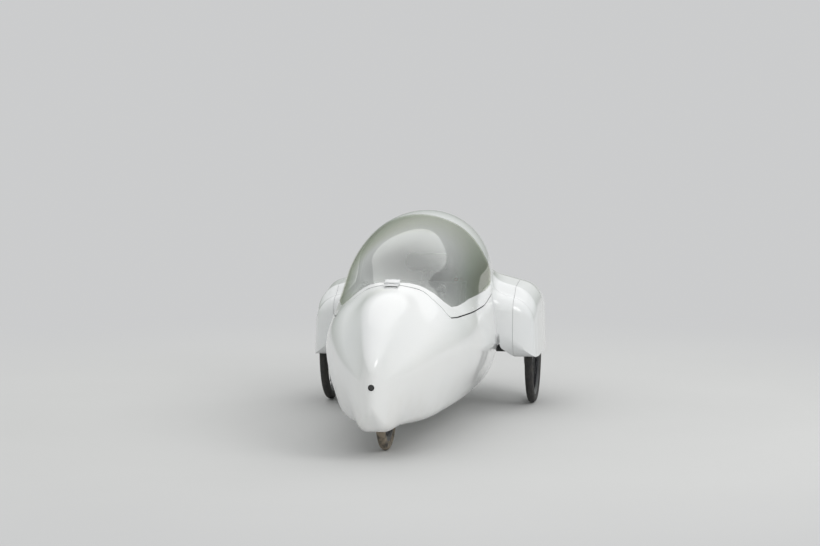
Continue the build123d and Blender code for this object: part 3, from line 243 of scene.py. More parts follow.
def body_ring(station):
    """Half section at any station, rounded off over the nose tip and the tail tip."""
    if station < NOSE_CAP:
        return capped_ring(NOSE_CAP, NOSE_SPINE, station / NOSE_CAP)
    if station > LENGTH - TAIL_CAP:
        return capped_ring(LENGTH - TAIL_CAP, TAIL_SPINE, (LENGTH - station) / TAIL_CAP)
    return body_curve(station)


def body_half_width(station, height):
    """How far the body's outside is from the centre plane at a station and height."""
    ring = body_ring(station)[FLOOR_STEPS:]
    return float(np.interp(height, ring[:, 1], ring[:, 0]))


def grid_normals(points):
    """Normals of a grid of points, rows by station, each row closed on itself."""
    side = np.roll(points, -1, axis=1) - np.roll(points, 1, axis=1)
    along = np.gradient(points, axis=0)
    normals = np.cross(along, side)
    size = np.linalg.norm(normals, axis=2, keepdims=True)
    return normals / np.maximum(size, 1e-9)


def grid_faces(high, wide, looped=False):
    """Faces of a grid whose rows close on themselves; looped joins the last row to the first."""
    faces = []
    for i in range(high if looped else high - 1):
        here = i * wide
        there = (i + 1) % high * wide
        for j in range(wide):
            k = (j + 1) % wide
            faces.append((here + j, here + k, there + k, there + j))
    return faces


def cap_stations(length, steps):
    """Distances from a tip's end, closer together near the end."""
    return [length * (k / steps) ** 2 for k in range(steps)]


STATION_STEP = 14.0
NOSE_CAP_STEPS = 9
TAIL_CAP_STEPS = 5
middle_length = LENGTH - TAIL_CAP - NOSE_CAP
count = int(middle_length / STATION_STEP)
body_stations = cap_stations(NOSE_CAP, NOSE_CAP_STEPS)
body_stations += [NOSE_CAP + middle_length * k / count for k in range(count + 1)]
body_stations += [LENGTH - s for s in reversed(cap_stations(TAIL_CAP, TAIL_CAP_STEPS))]
rows = []
for station in body_stations:
    half = body_ring(station)
    left = [(x, station, z) for x, z in half]
    right = [(-x, station, z) for x, z in reversed(half[1:-1])]
    rows.append(left + right)
body_points = np.array(rows)
body_normals = grid_normals(body_points)
body_normals[0] = (0, -1, 0)
body_normals[-1] = (0, 1, 0)


def weld(verts, faces):
    """Joins vertices that share a place and drops the faces that this flattens."""
    _, first, place = np.unique(np.round(verts[:, :3], 3), axis=0, return_index=True, return_inverse=True)
    place = place.reshape(-1)
    made = []
    for face in faces:
        ring = [int(place[v]) for v in face]
        ring = [v for k, v in enumerate(ring) if v != ring[k - 1]]
        if len(ring) > 2:
            made.append(tuple(ring))
    return verts[first], made


body_verts = np.concatenate([body_points.reshape(-1, 3), body_normals.reshape(-1, 3)], axis=1)
body_verts, body_faces = weld(body_verts, grid_faces(*body_points.shape[:2]))

# Points this near to a cut count as on it.
SNAP = 0.25


def clip(verts, faces, field):
    """The part of a mesh where field, a function of the points, is not negative."""
    value = field(verts)
    value = np.where(np.abs(value) < SNAP, 0.0, value)
    kept = value >= 0
    made = []
    cut = {}
    fresh = []
    for face in faces:
        inside = [kept[v] for v in face]
        if all(inside):
            fresh.append(face)
            continue
        if not any(inside):
            continue
        ring = []
        for here, there in zip(face, face[1:] + face[:1]):
            if kept[here]:
                ring.append(here)
            if kept[here] != kept[there] and value[here] != 0 and value[there] != 0:
                key = (min(here, there), max(here, there))
                if key not in cut:
                    share = value[here] / (value[here] - value[there])
                    cut[key] = len(verts) + len(made)
                    made.append(verts[here] + (verts[there] - verts[here]) * share)
                ring.append(cut[key])
        if len(ring) >= 3:
            fresh.append(tuple(ring))
    if made:
        verts = np.concatenate([verts, np.array(made)])
    used = sorted({v for face in fresh for v in face})
    place = {v: k for k, v in enumerate(used)}
    return verts[used], [tuple(place[v] for v in face) for face in fresh]


def rounded_ring(corners, steps=10):
    """Points of a polygon whose corners are rounded by their own radius."""
    points = []
    n = len(corners)
    for k, (x, z, radius) in enumerate(corners):
        here = np.array((x, z), float)
        if not radius:
            points.append(here)
            continue
        before = np.array(corners[k - 1][:2], float) - here
        after = np.array(corners[(k + 1) % n][:2], float) - here
        before /= np.linalg.norm(before)
        after /= np.linalg.norm(after)
        angle = acos(float(np.dot(before, after)))
        reach = radius / np.tan(angle / 2)
        for step in range(steps + 1):
            share = step / steps
            spot = here + before * reach * (1 - share) ** 2 + after * reach * share**2
            points.append(spot)
    return np.array(points)


def ring_depth(ring, spots):
    """How far spots lie inside a closed ring; negative outside."""
    ends = np.roll(ring, -1, axis=0)
    best = np.full(len(spots), 1e9)
    inside = np.zeros(len(spots), bool)
    for start, end in zip(ring, ends):
        way = end - start
        share = np.clip(((spots - start) @ way) / (way @ way), 0, 1)
        gap = np.linalg.norm(spots - (start + share[:, None] * way), axis=1)
        best = np.minimum(best, gap)
        crosses = (start[1] > spots[:, 1]) != (end[1] > spots[:, 1])
        with np.errstate(divide="ignore", invalid="ignore"):
            edge = start[0] + (spots[:, 1] - start[1]) / (end[1] - start[1]) * way[0]
        inside ^= crosses & (spots[:, 0] < edge)
    return np.where(inside, best, -best)


seam_ring = rounded_ring(SEAM)
glass_ring = rounded_ring(GLASS_EDGE)


# What a gap says where its hole isn't cut.
FAR = 99.0


def seam_depth(verts):
    """How far inside the canopy's seam points lie."""
    return ring_depth(seam_ring, verts[:, 1:3])


def glass_depth(verts):
    """How far inside the glass's edge points lie."""
    return ring_depth(glass_ring, verts[:, 1:3])


def slot_gap(verts):
    """Distance outside the steered wheel's slot, only counted low down."""
    half_wide = TYRE_WIDTH / 2 + SLOT_CLEAR
    half_long = FRONT_AXLE[2] + SLOT_CLEAR
    gaps = []
    for share in (-1, -0.5, 0, 0.5, 1):
        turn = radians(share * STEER_LIMIT)
        across = verts[:, 0] * cos(turn) + (verts[:, 1] - FRONT_AXLE[1]) * sin(turn)
        along = -verts[:, 0] * sin(turn) + (verts[:, 1] - FRONT_AXLE[1]) * cos(turn)
        gaps.append(np.maximum(np.abs(across) - half_wide, np.abs(along) - half_long))
    gap = np.min(gaps, axis=0)
    return np.where(verts[:, 2] > FRONT_AXLE[2], FAR, gap)


def lamp_gap(verts, height, radius, tip):
    """Distance outside a lamp's hole, only counted near the tip that holds the lamp."""
    gap = np.hypot(verts[:, 0], verts[:, 2] - height) - radius
    return np.where(np.abs(verts[:, 1] - tip) < LAMP_REACH, gap, FAR)


def beam_gap(verts):
    """Distance outside the hole for the rear beam."""
    return np.hypot(verts[:, 1] - REAR_AXLE_STATION, verts[:, 2] - REAR_TYRE_RADIUS) - BEAM_HOLE


def notch_gap(verts):
    """Distance outside the notch for the hinge in the hood."""
    across = np.abs(verts[:, 0]) - NOTCH_HALF_WIDTH
    along = np.abs(verts[:, 1] - HINGE_STATION) - NOTCH_HALF_LENGTH
    return np.where(verts[:, 2] < NOTCH_LOWEST, FAR, np.maximum(across, along))


# Objects


def new_object(name, data):
    """An object in the scene that holds a mesh, a light or a camera."""
    obj = bpy.data.objects.new(name, data)
    bpy.context.scene.collection.objects.link(obj)
    return obj


def mesh_object(name, points, faces):
    """A smooth mesh from points in millimetres."""
    mesh = bpy.data.meshes.new(name)
    mesh.from_pydata([metres(point) for point in points], [], faces)
    mesh.validate()
    for polygon in mesh.polygons:
        polygon.use_smooth = True
    return new_object(name, mesh)


def tidy(obj, sharp=35, merge=0.00005):
    """Merges doubled points, turns faces outwards and marks edges sharper than an angle."""
    mesh = bmesh.new()
    mesh.from_mesh(obj.data)
    bmesh.ops.remove_doubles(mesh, verts=mesh.verts, dist=merge)
    bmesh.ops.dissolve_degenerate(mesh, edges=mesh.edges, dist=merge)
    bmesh.ops.recalc_face_normals(mesh, faces=mesh.faces)
    for face in mesh.faces:
        face.smooth = True
    for edge in mesh.edges:
        if len(edge.link_faces) == 2:
            edge.smooth = edge.calc_face_angle(0) < radians(sharp)
    mesh.to_mesh(obj.data)
    mesh.free()
    return obj


def shell_object(name, verts, faces, wall):
    """A thin skin with its wall added inwards and its rims closed."""
    outer = verts[:, :3]
    normals = verts[:, 3:]
    normals = normals / np.maximum(np.linalg.norm(normals, axis=1, keepdims=True), 1e-9)
    inner = outer - normals * wall
    n = len(outer)
    edges = {}
    for face in faces:
        for here, there in zip(face, face[1:] + face[:1]):
            key = (min(here, there), max(here, there))
            edges.setdefault(key, []).append((here, there))
    made = list(faces) + [tuple(v + n for v in reversed(face)) for face in faces]
    for uses in edges.values():
        if len(uses) == 1:
            here, there = uses[0]
            made.append((there, here, here + n, there + n))
    return tidy(mesh_object(name, np.concatenate([outer, inner]), made))


def cut_skin(name, wall, *fields):
    """The body's skin where every field is positive, with its wall."""
    verts, faces = body_verts, body_faces
    for field in fields:
        verts, faces = clip(verts, faces, field)
    return shell_object(name, verts, faces, wall)


body_skin = cut_skin(
    "body_skin", SHELL,
    lambda v: -seam_depth(v) - SEAM_GAP / 2,
    slot_gap,
    lambda v: lamp_gap(v, HEADLIGHT_HEIGHT, HEADLIGHT_HOLE, 0),
    lambda v: lamp_gap(v, TAIL_LIGHT_HEIGHT, TAIL_LIGHT_HOLE, LENGTH),
    beam_gap,
    notch_gap,
)
canopy_rim = cut_skin(
    "canopy_rim", SHELL,
    lambda v: seam_depth(v) - SEAM_GAP / 2,
    lambda v: -glass_depth(v) - GLASS_GAP / 2,
    notch_gap,
)
canopy_bubble = cut_skin("canopy_bubble", GLASS, lambda v: glass_depth(v) - GLASS_GAP / 2)

# Side pods. Each section starts low on the body, runs up its wall, over the wing's top, down the
# pod's side and back along its underside.
pod_columns = spline([row[0] for row in POD_SECTIONS], [row[1:] for row in POD_SECTIONS])
POD_START = POD_SECTIONS[0][0]
POD_END = POD_SECTIONS[-1][0]

WALL_POINTS = 13
TOP_FILLET_STEPS = 9
TOP_STEPS = 6
CORNER_STEPS = 10
SIDE_STEPS = 8
HEM_STEPS = 4
RISE_STEPS = 3
UNDER_STEPS = 4
LOW_FILLET_STEPS = 7
OUTER_END = WALL_POINTS + TOP_FILLET_STEPS + TOP_STEPS + CORNER_STEPS + SIDE_STEPS


def straight_values(station):
    """Pod sizes at a station, on straight lines between the rows of POD_SECTIONS."""
    stations, *columns = zip(*POD_SECTIONS)
    return np.array([np.interp(station, stations, column) for column in columns])


def pod_values(station):
    """Pod sizes at a station: grown from the start in a quarter round, smooth behind POD_SMOOTH."""
    if station < POD_FULL:
        share = (station - POD_START) / (POD_FULL - POD_START)
        grown = sqrt(max(0.0, 1 - (1 - share) ** 2))
        first = np.array(POD_SECTIONS[0][1:], float)
        return first + (straight_values(POD_FULL) - first) * grown
    values = straight_values(station)
    if station > POD_SMOOTH:
        values = np.minimum(pod_columns(station), values + POD_SWELL)
    return values


def bezier(start, lead, trail, end, steps):
    """Points of a cubic curve from start to end, pulled towards lead and trail."""
    spots = []
    for k in range(steps + 1):
        t = k / steps
        near = start * (1 - t) ** 3 + lead * 3 * t * (1 - t) ** 2
        spots.append(near + trail * 3 * t * t * (1 - t) + end * t**3)
    return spots


def straight(start, end, steps):
    """Points on the line from start to end, without start."""
    return [start + (end - start) * k / steps for k in range(1, steps + 1)]


def unit(way):
    """A way with a length of one."""
    return way / np.linalg.norm(way)


def pod_ring(station):
    """Closed section of wing and pod, starting low on the body and going up its wall."""
    root_top, corner_x, corner_z, skirt_x, skirt_z, under_z, radius = pod_values(station)
    slope = (corner_z - root_top) / (corner_x - WING_ROOT)
    wall_z = root_top + slope * (body_half_width(station, root_top + slope * ROOT_PROBE) - WING_ROOT)
    top_z = wall_z + TOP_FILLET_UP
    low_z = under_z - LOW_FILLET_DOWN
    wall = []
    for k in range(WALL_POINTS):
        z = low_z + (top_z - low_z) * k / (WALL_POINTS - 1)
        wall.append(np.array((body_half_width(station, z) - ROOT_SINK, z)))

    start = wall[-1]
    join_x = min(body_half_width(station, wall_z) + TOP_FILLET_OUT, corner_x - radius * 0.9)
    join = np.array((join_x, root_top + slope * (join_x - WING_ROOT)))
    top_way = np.array((1, slope)) / sqrt(1 + slope**2)
    reach = np.linalg.norm(join - start) * FILLET_LEAD
    down = unit(wall[-2] - start)
    fillet = bezier(start, start + down * reach, join - top_way * reach, join, TOP_FILLET_STEPS)

    corner = np.array((corner_x, corner_z))
    skirt = np.array((skirt_x, skirt_z))
    side_way = unit(skirt - corner)
    size = min(radius * CORNER_REACH, np.linalg.norm(corner - join) * 0.9)
    turn_in = corner - top_way * size
    turn_out = corner + side_way * size
    lead = corner - top_way * size * FILLET_LEAD
    trail = corner + side_way * size * FILLET_LEAD
    bend = bezier(turn_in, lead, trail, turn_out, CORNER_STEPS)

    inner_x = max(skirt_x - HEM_WIDTH, body_half_width(station, under_z) + BODY_CLEAR)
    inner = np.array((inner_x, skirt_z))
    inner_top = np.array((inner_x, under_z))
    foot_x = min(body_half_width(station, under_z) + LOW_FILLET_OUT, inner_x - 2)
    foot = np.array((foot_x, under_z))
    body_low = wall[0]
    reach = np.linalg.norm(foot - body_low) * FILLET_LEAD
    up = unit(wall[1] - body_low)
    inwards = np.array((-1, 0))
    sweep = bezier(foot, foot + inwards * reach, body_low + up * reach, body_low, LOW_FILLET_STEPS)

    ring = wall + fillet[1:] + straight(join, turn_in, TOP_STEPS) + bend[1:]
    ring += straight(turn_out, skirt, SIDE_STEPS) + straight(skirt, inner, HEM_STEPS)
    ring += straight(inner, inner_top, RISE_STEPS) + straight(inner_top, foot, UNDER_STEPS) + sweep[1:-1]
    return [(x, station, z) for x, z in ring]


def flat(rings):
    """All points of rings in one list."""
    return [point for ring in rings for point in ring]


def loft_object(name, rings):
    """A closed form through rings of equal counts, both ends filled."""
    wide = len(rings[0])
    faces = grid_faces(len(rings), wide)
    faces.append(tuple(range(wide)))
    faces.append(tuple(reversed(range((len(rings) - 1) * wide, len(rings) * wide))))
    return mesh_object(name, flat(rings), faces)


def cut_plane(obj, x, keep_outside):
    """Keeps one side of the plane at x and closes the cut."""
    mesh = bmesh.new()
    mesh.from_mesh(obj.data)
    geometry = mesh.verts[:] + mesh.edges[:] + mesh.faces[:]
    cut = bmesh.ops.bisect_plane(mesh, geom=geometry, dist=1e-6, plane_co=(x / 1000, 0, 0),
                                 plane_no=(1, 0, 0), clear_inner=keep_outside, clear_outer=not keep_outside)
    edges = [e for e in cut["geom_cut"] if isinstance(e, bmesh.types.BMEdge)]
    bmesh.ops.holes_fill(mesh, edges=edges, sides=0)
    mesh.to_mesh(obj.data)
    mesh.free()
    return obj


def apply_modifiers(obj):
    """Puts the mesh that an object's modifiers make in place of its own."""
    graph = bpy.context.evaluated_depsgraph_get()
    mesh = bpy.data.meshes.new_from_object(obj.evaluated_get(graph))
    obj.modifiers.clear()
    obj.data = mesh


def subtract(obj, tool):
    """Cuts tool out of obj and removes tool."""
    step = obj.modifiers.new("cut", "BOOLEAN")
    step.operation = "DIFFERENCE"
    step.object = tool
    step.solver = "EXACT"
    apply_modifiers(obj)
    bpy.data.objects.remove(tool)


def mirrored_copy(obj, name):
    """The same form on the other side of the centre plane."""
    mesh = obj.data.copy()
    mesh.transform(Matrix.Diagonal((-1, 1, 1, 1)))
    mesh.flip_normals()
    return new_object(name, mesh)


POD_FRONT_STEPS = 12
POD_REAR_STEPS = 46
WELL_STEPS = 30
WELL_POINTS = 24


def well_ring(station):
    """Section of the hollow over the wheel, a pod's wall inside the pod's outer curve."""
    ring = pod_ring(station)
    outer = np.array([(x, z) for x, _, z in ring[WALL_POINTS:OUTER_END]])
    way = np.gradient(outer, axis=0)
    way /= np.linalg.norm(way, axis=1, keepdims=True)
    inner = outer + np.stack([way[:, 1], -way[:, 0]], axis=1) * POD_WALL
    inside = PANEL_X + POD_WALL
    widest = int(np.argmax(inner[:, 0]))
    top = float(np.interp(inside, inner[:widest + 1, 0], inner[:widest + 1, 1]))
    path = np.concatenate([[(inside, top)], inner[inner[:, 0] > inside + 1]])
    run = np.concatenate([[0], np.cumsum(np.linalg.norm(np.diff(path, axis=0), axis=1))])
    spots = [(inside, WELL_BOTTOM)]
    for reach in np.linspace(0, run[-1], WELL_POINTS):
        spots.append((float(np.interp(reach, run, path[:, 0])), float(np.interp(reach, run, path[:, 1]))))
    spots.append((spots[-1][0] + 0.5, WELL_BOTTOM))
    return [(x, station, z) for x, z in spots]


pod_stations = []
for k in range(POD_FRONT_STEPS):
    pod_stations.append(POD_START + (POD_FULL - POD_START) * (1 - cos(pi / 2 * k / POD_FRONT_STEPS)))
for k in range(POD_REAR_STEPS + 1):
    pod_stations.append(POD_FULL + (POD_END - POD_FULL) * k / POD_REAR_STEPS)
well_stations = [WELL_FRONT + (WELL_REAR - WELL_FRONT) * k / WELL_STEPS for k in range(WELL_STEPS + 1)]
pod_rings = [pod_ring(station) for station in pod_stations]

left_wing = cut_plane(loft_object("left_wing_skin", pod_rings), PANEL_X - PANEL_GAP / 2, False)
tidy(left_wing, sharp=40)
left_pod = cut_plane(loft_object("left_pod_skin", pod_rings), PANEL_X + PANEL_GAP / 2, True)
tidy(left_pod, sharp=40)
well = tidy(loft_object("well", [well_ring(station) for station in well_stations]), sharp=40)
subtract(left_pod, well)
tidy(left_pod, sharp=40)
side_skins = {
    "left": (left_wing, left_pod),
    "right": (mirrored_copy(left_wing, "right_wing_skin"), mirrored_copy(left_pod, "right_pod_skin")),
}
for side_name, (wing_skin, pod_skin) in side_skins.items():
    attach(wing_skin, "chassis")
    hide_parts(side_name + "_wing")
    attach(pod_skin, "chassis")
    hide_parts(side_name + "_wheel_fairing")

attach(body_skin, "chassis")
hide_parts("body_shell")
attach(canopy_rim, "canopy")
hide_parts("canopy_frame")
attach(canopy_bubble, "canopy")
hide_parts("canopy_glass")

# Tyres, grips, lamp ring, screws and cushions. The tread's angles are degrees from its middle.
TREAD_TURNS = 252
TREAD_ANGLES = [0, 7, 8.5, 12.5, 14, 25, 26.5, 30.5, 32, 44, 47, 60, 74, 88, 103, 118]
TREAD_DEPTH = 1.5
TREAD_INSET = 0.3
CROWN_DROP = 0.2
RING_GROOVES = ((8.5, 12.5), (26.5, 30.5))
BLOCK_TURNS = 6
BEAD_OUTSIDE = 12.6
BEAD_INSIDE = 10.4
BEAD_DEPTH = 35.8
TYRE_WALL = 3
LINING_ANGLES = (100, 60, 25, 0, -25, -60, -100)

# Cross cuts: first and last angle, the turns of each block that they take up, and their depth.
CROSS_CUTS = ((14, 25, (0, 1), TREAD_DEPTH * 0.8), (32, 44, (3, 4), TREAD_DEPTH))


def tread_depth(angle, turn):
    """How far the tread lies below its crown at an angle off the middle and a turn round the wheel."""
    size = abs(angle)
    if any(low <= size <= high for low, high in RING_GROOVES):
        return TREAD_DEPTH
    for low, high, turns, depth in CROSS_CUTS:
        if low <= size <= high and turn % BLOCK_TURNS in turns:
            return depth
    return 0.0


def tyre_object(name, x, station, radius):
    """A tyre whose tread has two grooves round each side and cross cuts between them."""
    half = TYRE_WIDTH / 2 - TREAD_INSET
    lining = half - TYRE_WALL
    middle = radius - half
    bead = radius - BEAD_DEPTH
    angles = [-a for a in reversed(TREAD_ANGLES[1:])] + TREAD_ANGLES
    rings = []
    for turn in range(TREAD_TURNS):
        spin = 2 * pi * turn / TREAD_TURNS
        section = []
        for angle in angles:
            reach = half - tread_depth(angle, turn)
            section.append((reach * sin(radians(angle)), middle + reach * cos(radians(angle)) - CROWN_DROP))
        section += [(BEAD_OUTSIDE, bead), (BEAD_INSIDE, bead)]
        for angle in LINING_ANGLES:
            section.append((lining * sin(radians(angle)), middle + lining * cos(radians(angle))))
        section += [(-BEAD_INSIDE, bead), (-BEAD_OUTSIDE, bead)]
        ring = [(x + across, station + out * cos(spin), radius + out * sin(spin)) for across, out in section]
        rings.append(ring)
    faces = grid_faces(TREAD_TURNS, len(rings[0]), looped=True)
    return tidy(mesh_object(name, flat(rings), faces), sharp=30)


tyre_skins = []
for node, body, x, station, radius in TYRES:
    made = tyre_object(node + "_tread", x, station, radius)
    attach(made, body)
    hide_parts(node)
    tyre_skins.append(made)


def turned_object(name, start, way, profile, steps=36):
    """A closed turned form; profile gives (distance along way, radius) pairs."""
    way = Vector(way).normalized()
    side = way.orthogonal().normalized()
    other = way.cross(side)
    points = []
    for along, radius in profile:
        for k in range(steps):
            turn = 2 * pi * k / steps
            out = side * cos(turn) + other * sin(turn)
            points.append(tuple(Vector(start) + way * along + out * radius))
    faces = grid_faces(len(profile), steps)
    faces.append(tuple(reversed(range(steps))))
    faces.append(tuple(range((len(profile) - 1) * steps, len(profile) * steps)))
    return tidy(mesh_object(name, points, faces), sharp=40)


RIB_COUNT = 12
RIB_START = 5
RIB_PITCH = 4.4
RIB_TOP = 0.2
RIB_GROOVE = 1.8

# Distances along a grip and below its radius.
grip_profile = [(0, 2.5), (1.2, 0.6), (3, RIB_TOP)]
for k in range(RIB_COUNT):
    along = RIB_START + k * RIB_PITCH
    grip_profile += [(along, RIB_TOP), (along + 0.8, RIB_GROOVE)]
    grip_profile += [(along + 2.0, RIB_GROOVE), (along + 2.8, RIB_TOP)]
grip_profile += [(60, RIB_TOP), (61.6, 1.2), (GRIP_LENGTH, 3)]
grip_profile = [(along, GRIP_RADIUS - depth) for along, depth in grip_profile]
grip_start = [end - way * GRIP_LENGTH for end, way in zip(GRIP_END, GRIP_WAY)]
grip_skins = []
for side_name, sign in (("left", 1), ("right", -1)):
    start = (grip_start[0] * sign, *grip_start[1:])
    made = turned_object(side_name + "_grip_ribs", start, GRIP_WAY, grip_profile)
    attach(made, "bar_and_column")
    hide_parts(side_name + "_grip")
    grip_skins.append(made)


def nose_station(x, height):
    """Station of the rounded nose at a distance from the centre plane and a height."""
    return NOSE_CAP * (x / body_half_width(NOSE_CAP, height)) ** 2


# The headlight's ring: distance from the lamp's middle and depth behind the nose's surface.
BEZEL_SECTION = [
    (12.6, 5.0), (12.6, 0.2), (13.4, -0.9), (15.2, -1.1),
    (17.2, -0.5), (17.8, 0.6), (17.0, 3.0), (15.0, 5.0),
]
BEZEL_TURNS = 48
bezel_points = []
for k in range(BEZEL_TURNS):
    turn = 2 * pi * k / BEZEL_TURNS
    for reach, depth in BEZEL_SECTION:
        x = reach * cos(turn)
        z = HEADLIGHT_HEIGHT + reach * sin(turn)
        bezel_points.append((x, nose_station(x, z) + depth, z))
bezel_faces = grid_faces(BEZEL_TURNS, len(BEZEL_SECTION), looped=True)
lamp_ring = tidy(mesh_object("headlight_ring", bezel_points, bezel_faces), sharp=40)
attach(lamp_ring, "chassis")


def join(name, parts):
    """One object from several, whose own objects are removed."""
    mesh = bmesh.new()
    for part in parts:
        mesh.from_mesh(part.data)
        bpy.data.objects.remove(part)
    made = bpy.data.meshes.new(name)
    mesh.to_mesh(made)
    mesh.free()
    return new_object(name, made)


SKIN_PROBE = 6


def skin_spot(station, height, sign):
    """A point of the body's outside and the way straight out of it."""
    def spot(s, z):
        return Vector((body_half_width(s, z), s, z))
    along = spot(station + SKIN_PROBE, height) - spot(station - SKIN_PROBE, height)
    up = spot(station, height + SKIN_PROBE) - spot(station, height - SKIN_PROBE)
    out = along.cross(up).normalized()
    if out.x < 0:
        out = -out
    place = spot(station, height)
    return Vector((place.x * sign, place.y, place.z)), Vector((out.x * sign, out.y, out.z))


# A domed screw with a socket: distance out of the skin and radius. Then the screws' places on each
# side of the canopy: station and height.
SCREW = [(-2, 4.0), (0.3, 4.0), (1.1, 3.4), (1.6, 2.0), (0.7, 1.8), (0.7, 0.6)]
SCREW_SPOTS = [(702, 521), (962, 516), (1290, 516), (1560, 541)]
screws = []
for station, height in SCREW_SPOTS:
    for sign in (1, -1):
        place, out = skin_spot(station, height, sign)
        screws.append(turned_object("screw", place, out, SCREW, steps=20))
canopy_screws = join("canopy_screws", screws)
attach(canopy_screws, "canopy")


# The cushions' two lengths are in metres, as in the frame.
CUSHION_VOXEL = 0.006
CUSHION_SWELL = 0.007
CLOTH_PRESSURE = 4
CLOTH_FRAMES = 20


def swell(obj):
    """Swells a closed form as cloth under pressure, by CUSHION_SWELL at most."""
    start = np.array([v.co[:] for v in obj.data.vertices])
    cloth = obj.modifiers.new("cloth", "CLOTH")
    cloth.settings.use_pressure = True
    cloth.settings.uniform_pressure_force = CLOTH_PRESSURE
    cloth.settings.effector_weights.gravity = 0
    for moment in range(1, CLOTH_FRAMES + 1):
        bpy.context.scene.frame_set(moment)
    apply_modifiers(obj)
    bpy.context.scene.frame_set(1)
    moved = np.array([v.co[:] for v in obj.data.vertices]) - start
    size = np.linalg.norm(moved, axis=1, keepdims=True)
    moved *= np.minimum(1.0, CUSHION_SWELL / np.maximum(size, 1e-9))
    for vertex, place in zip(obj.data.vertices, start + moved):
        vertex.co = place


def stuffed(name, node):
    made = new_object(name, frame["nodes"][node].data.copy())
    mesher = made.modifiers.new("mesher", "REMESH")
    mesher.mode = "VOXEL"
    mesher.voxel_size = CUSHION_VOXEL
    apply_modifiers(made)
    swell(made)
    finer = made.modifiers.new("finer", "SUBSURF")
    finer.levels = 1
    finer.render_levels = 1
    apply_modifiers(made)
    for polygon in made.data.polygons:
        polygon.use_smooth = True
    return made


cushions = []
for node in ("seat_pad", "headrest"):
    made = stuffed(node + "_cushion", node)
    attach(made, "chassis")
    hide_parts(node)
    cushions.append(made)

# Materials


def material(name, base, roughness, metallic=0.0, coat=0.0):
    """A material with its shader; returns the material, its nodes, its links and the shader."""
    made = bpy.data.materials.new(name)
    made.use_nodes = True
    nodes = made.node_tree.nodes
    links = made.node_tree.links
    shader = nodes["Principled BSDF"]
    shader.inputs["Base Color"].default_value = (*base, 1)
    shader.inputs["Roughness"].default_value = roughness
    shader.inputs["Metallic"].default_value = metallic
    shader.inputs["Coat Weight"].default_value = coat
    shader.inputs["Coat Roughness"].default_value = 0.06
    return made, nodes, links, shader


def object_place(nodes):
    """Each point's place in its object's coordinates."""
    return nodes.new("ShaderNodeTexCoord").outputs["Object"]


def noise(nodes, links, scale, detail=4.0, place=None):
    """A noise texture in object coordinates."""
    texture = nodes.new("ShaderNodeTexNoise")
    texture.inputs["Scale"].default_value = scale
    texture.inputs["Detail"].default_value = detail
    if place is None:
        place = object_place(nodes)
    links.new(place, texture.inputs["Vector"])
    return texture.outputs["Fac"]


def ramp(nodes, links, value, stops):
    """A colour ramp; stops are (place, colour)."""
    node = nodes.new("ShaderNodeValToRGB")
    node.color_ramp.elements[0].position = stops[0][0]
    node.color_ramp.elements[0].color = (*stops[0][1], 1)
    node.color_ramp.elements[1].position = stops[-1][0]
    node.color_ramp.elements[1].color = (*stops[-1][1], 1)
    for place, colour in stops[1:-1]:
        element = node.color_ramp.elements.new(place)
        element.color = (*colour, 1)
    links.new(value, node.inputs["Fac"])
    return node.outputs["Color"]


def map_range(nodes, links, value, start=(0.0, 1.0), end=(0.0, 1.0)):
    """A node that moves a value from the range start to the range end."""
    node = nodes.new("ShaderNodeMapRange")
    for socket, number in zip(("From Min", "From Max", "To Min", "To Max"), (*start, *end)):
        node.inputs[socket].default_value = number
    links.new(value, node.inputs["Value"])
    return node


def arithmetic(nodes, links, operation, first, second):
    """One operation on two values or numbers; products are kept between 0 and 1."""
    node = nodes.new("ShaderNodeMath")
    node.operation = operation
    node.use_clamp = operation == "MULTIPLY"
    for socket, value in zip(node.inputs, (first, second)):
        if isinstance(value, (int, float)):
            socket.default_value = value
        else:
            links.new(value, socket)
    return node.outputs[0]


def bump(nodes, links, shader, height, strength, distance):
    """Gives a shader the relief of a height."""
    node = nodes.new("ShaderNodeBump")
    node.inputs["Strength"].default_value = strength
    node.inputs["Distance"].default_value = distance
    links.new(height, node.inputs["Height"])
    links.new(node.outputs["Normal"], shader.inputs["Normal"])


def mix_colour(nodes, links, share, first, second):
    """Two colours, each fixed or from a socket, mixed by a share."""
    node = nodes.new("ShaderNodeMix")
    node.data_type = "RGBA"
    links.new(share, node.inputs["Factor"])
    for socket, value in ((node.inputs["A"], first), (node.inputs["B"], second)):
        if isinstance(value, tuple):
            socket.default_value = (*value, 1)
        else:
            links.new(value, socket)
    return node.outputs["Result"]


def gelcoat():
    """Glossy white shell with slight clouds and a film of dust low down."""
    made, nodes, links, shader = material("gelcoat", (0.84, 0.845, 0.85), 0.2, coat=0.5)
    place = object_place(nodes)
    split = nodes.new("ShaderNodeSeparateXYZ")
    links.new(place, split.inputs[0])
    clouds = [(0.3, (0.82, 0.83, 0.84)), (0.7, (0.865, 0.865, 0.86))]
    tone = ramp(nodes, links, noise(nodes, links, 2.4, 3, place), clouds)
    low = map_range(nodes, links, split.outputs["Z"], start=(0.30, 0.11))
    patches = [(0.42, (0, 0, 0)), (0.75, (1, 1, 1))]
    patch = ramp(nodes, links, noise(nodes, links, 9, 5, place), patches)
    film = arithmetic(nodes, links, "MULTIPLY", low.outputs["Result"], patch)
    dust = arithmetic(nodes, links, "MULTIPLY", film, 0.28)
    colour = mix_colour(nodes, links, dust, tone, (0.52, 0.47, 0.40))
    links.new(colour, shader.inputs["Base Color"])
    rough = map_range(nodes, links, film, end=(0.17, 0.34))
    links.new(rough.outputs["Result"], shader.inputs["Roughness"])
    bump(nodes, links, shader, noise(nodes, links, 700, 2, place), 0.03, 0.0004)
    return made


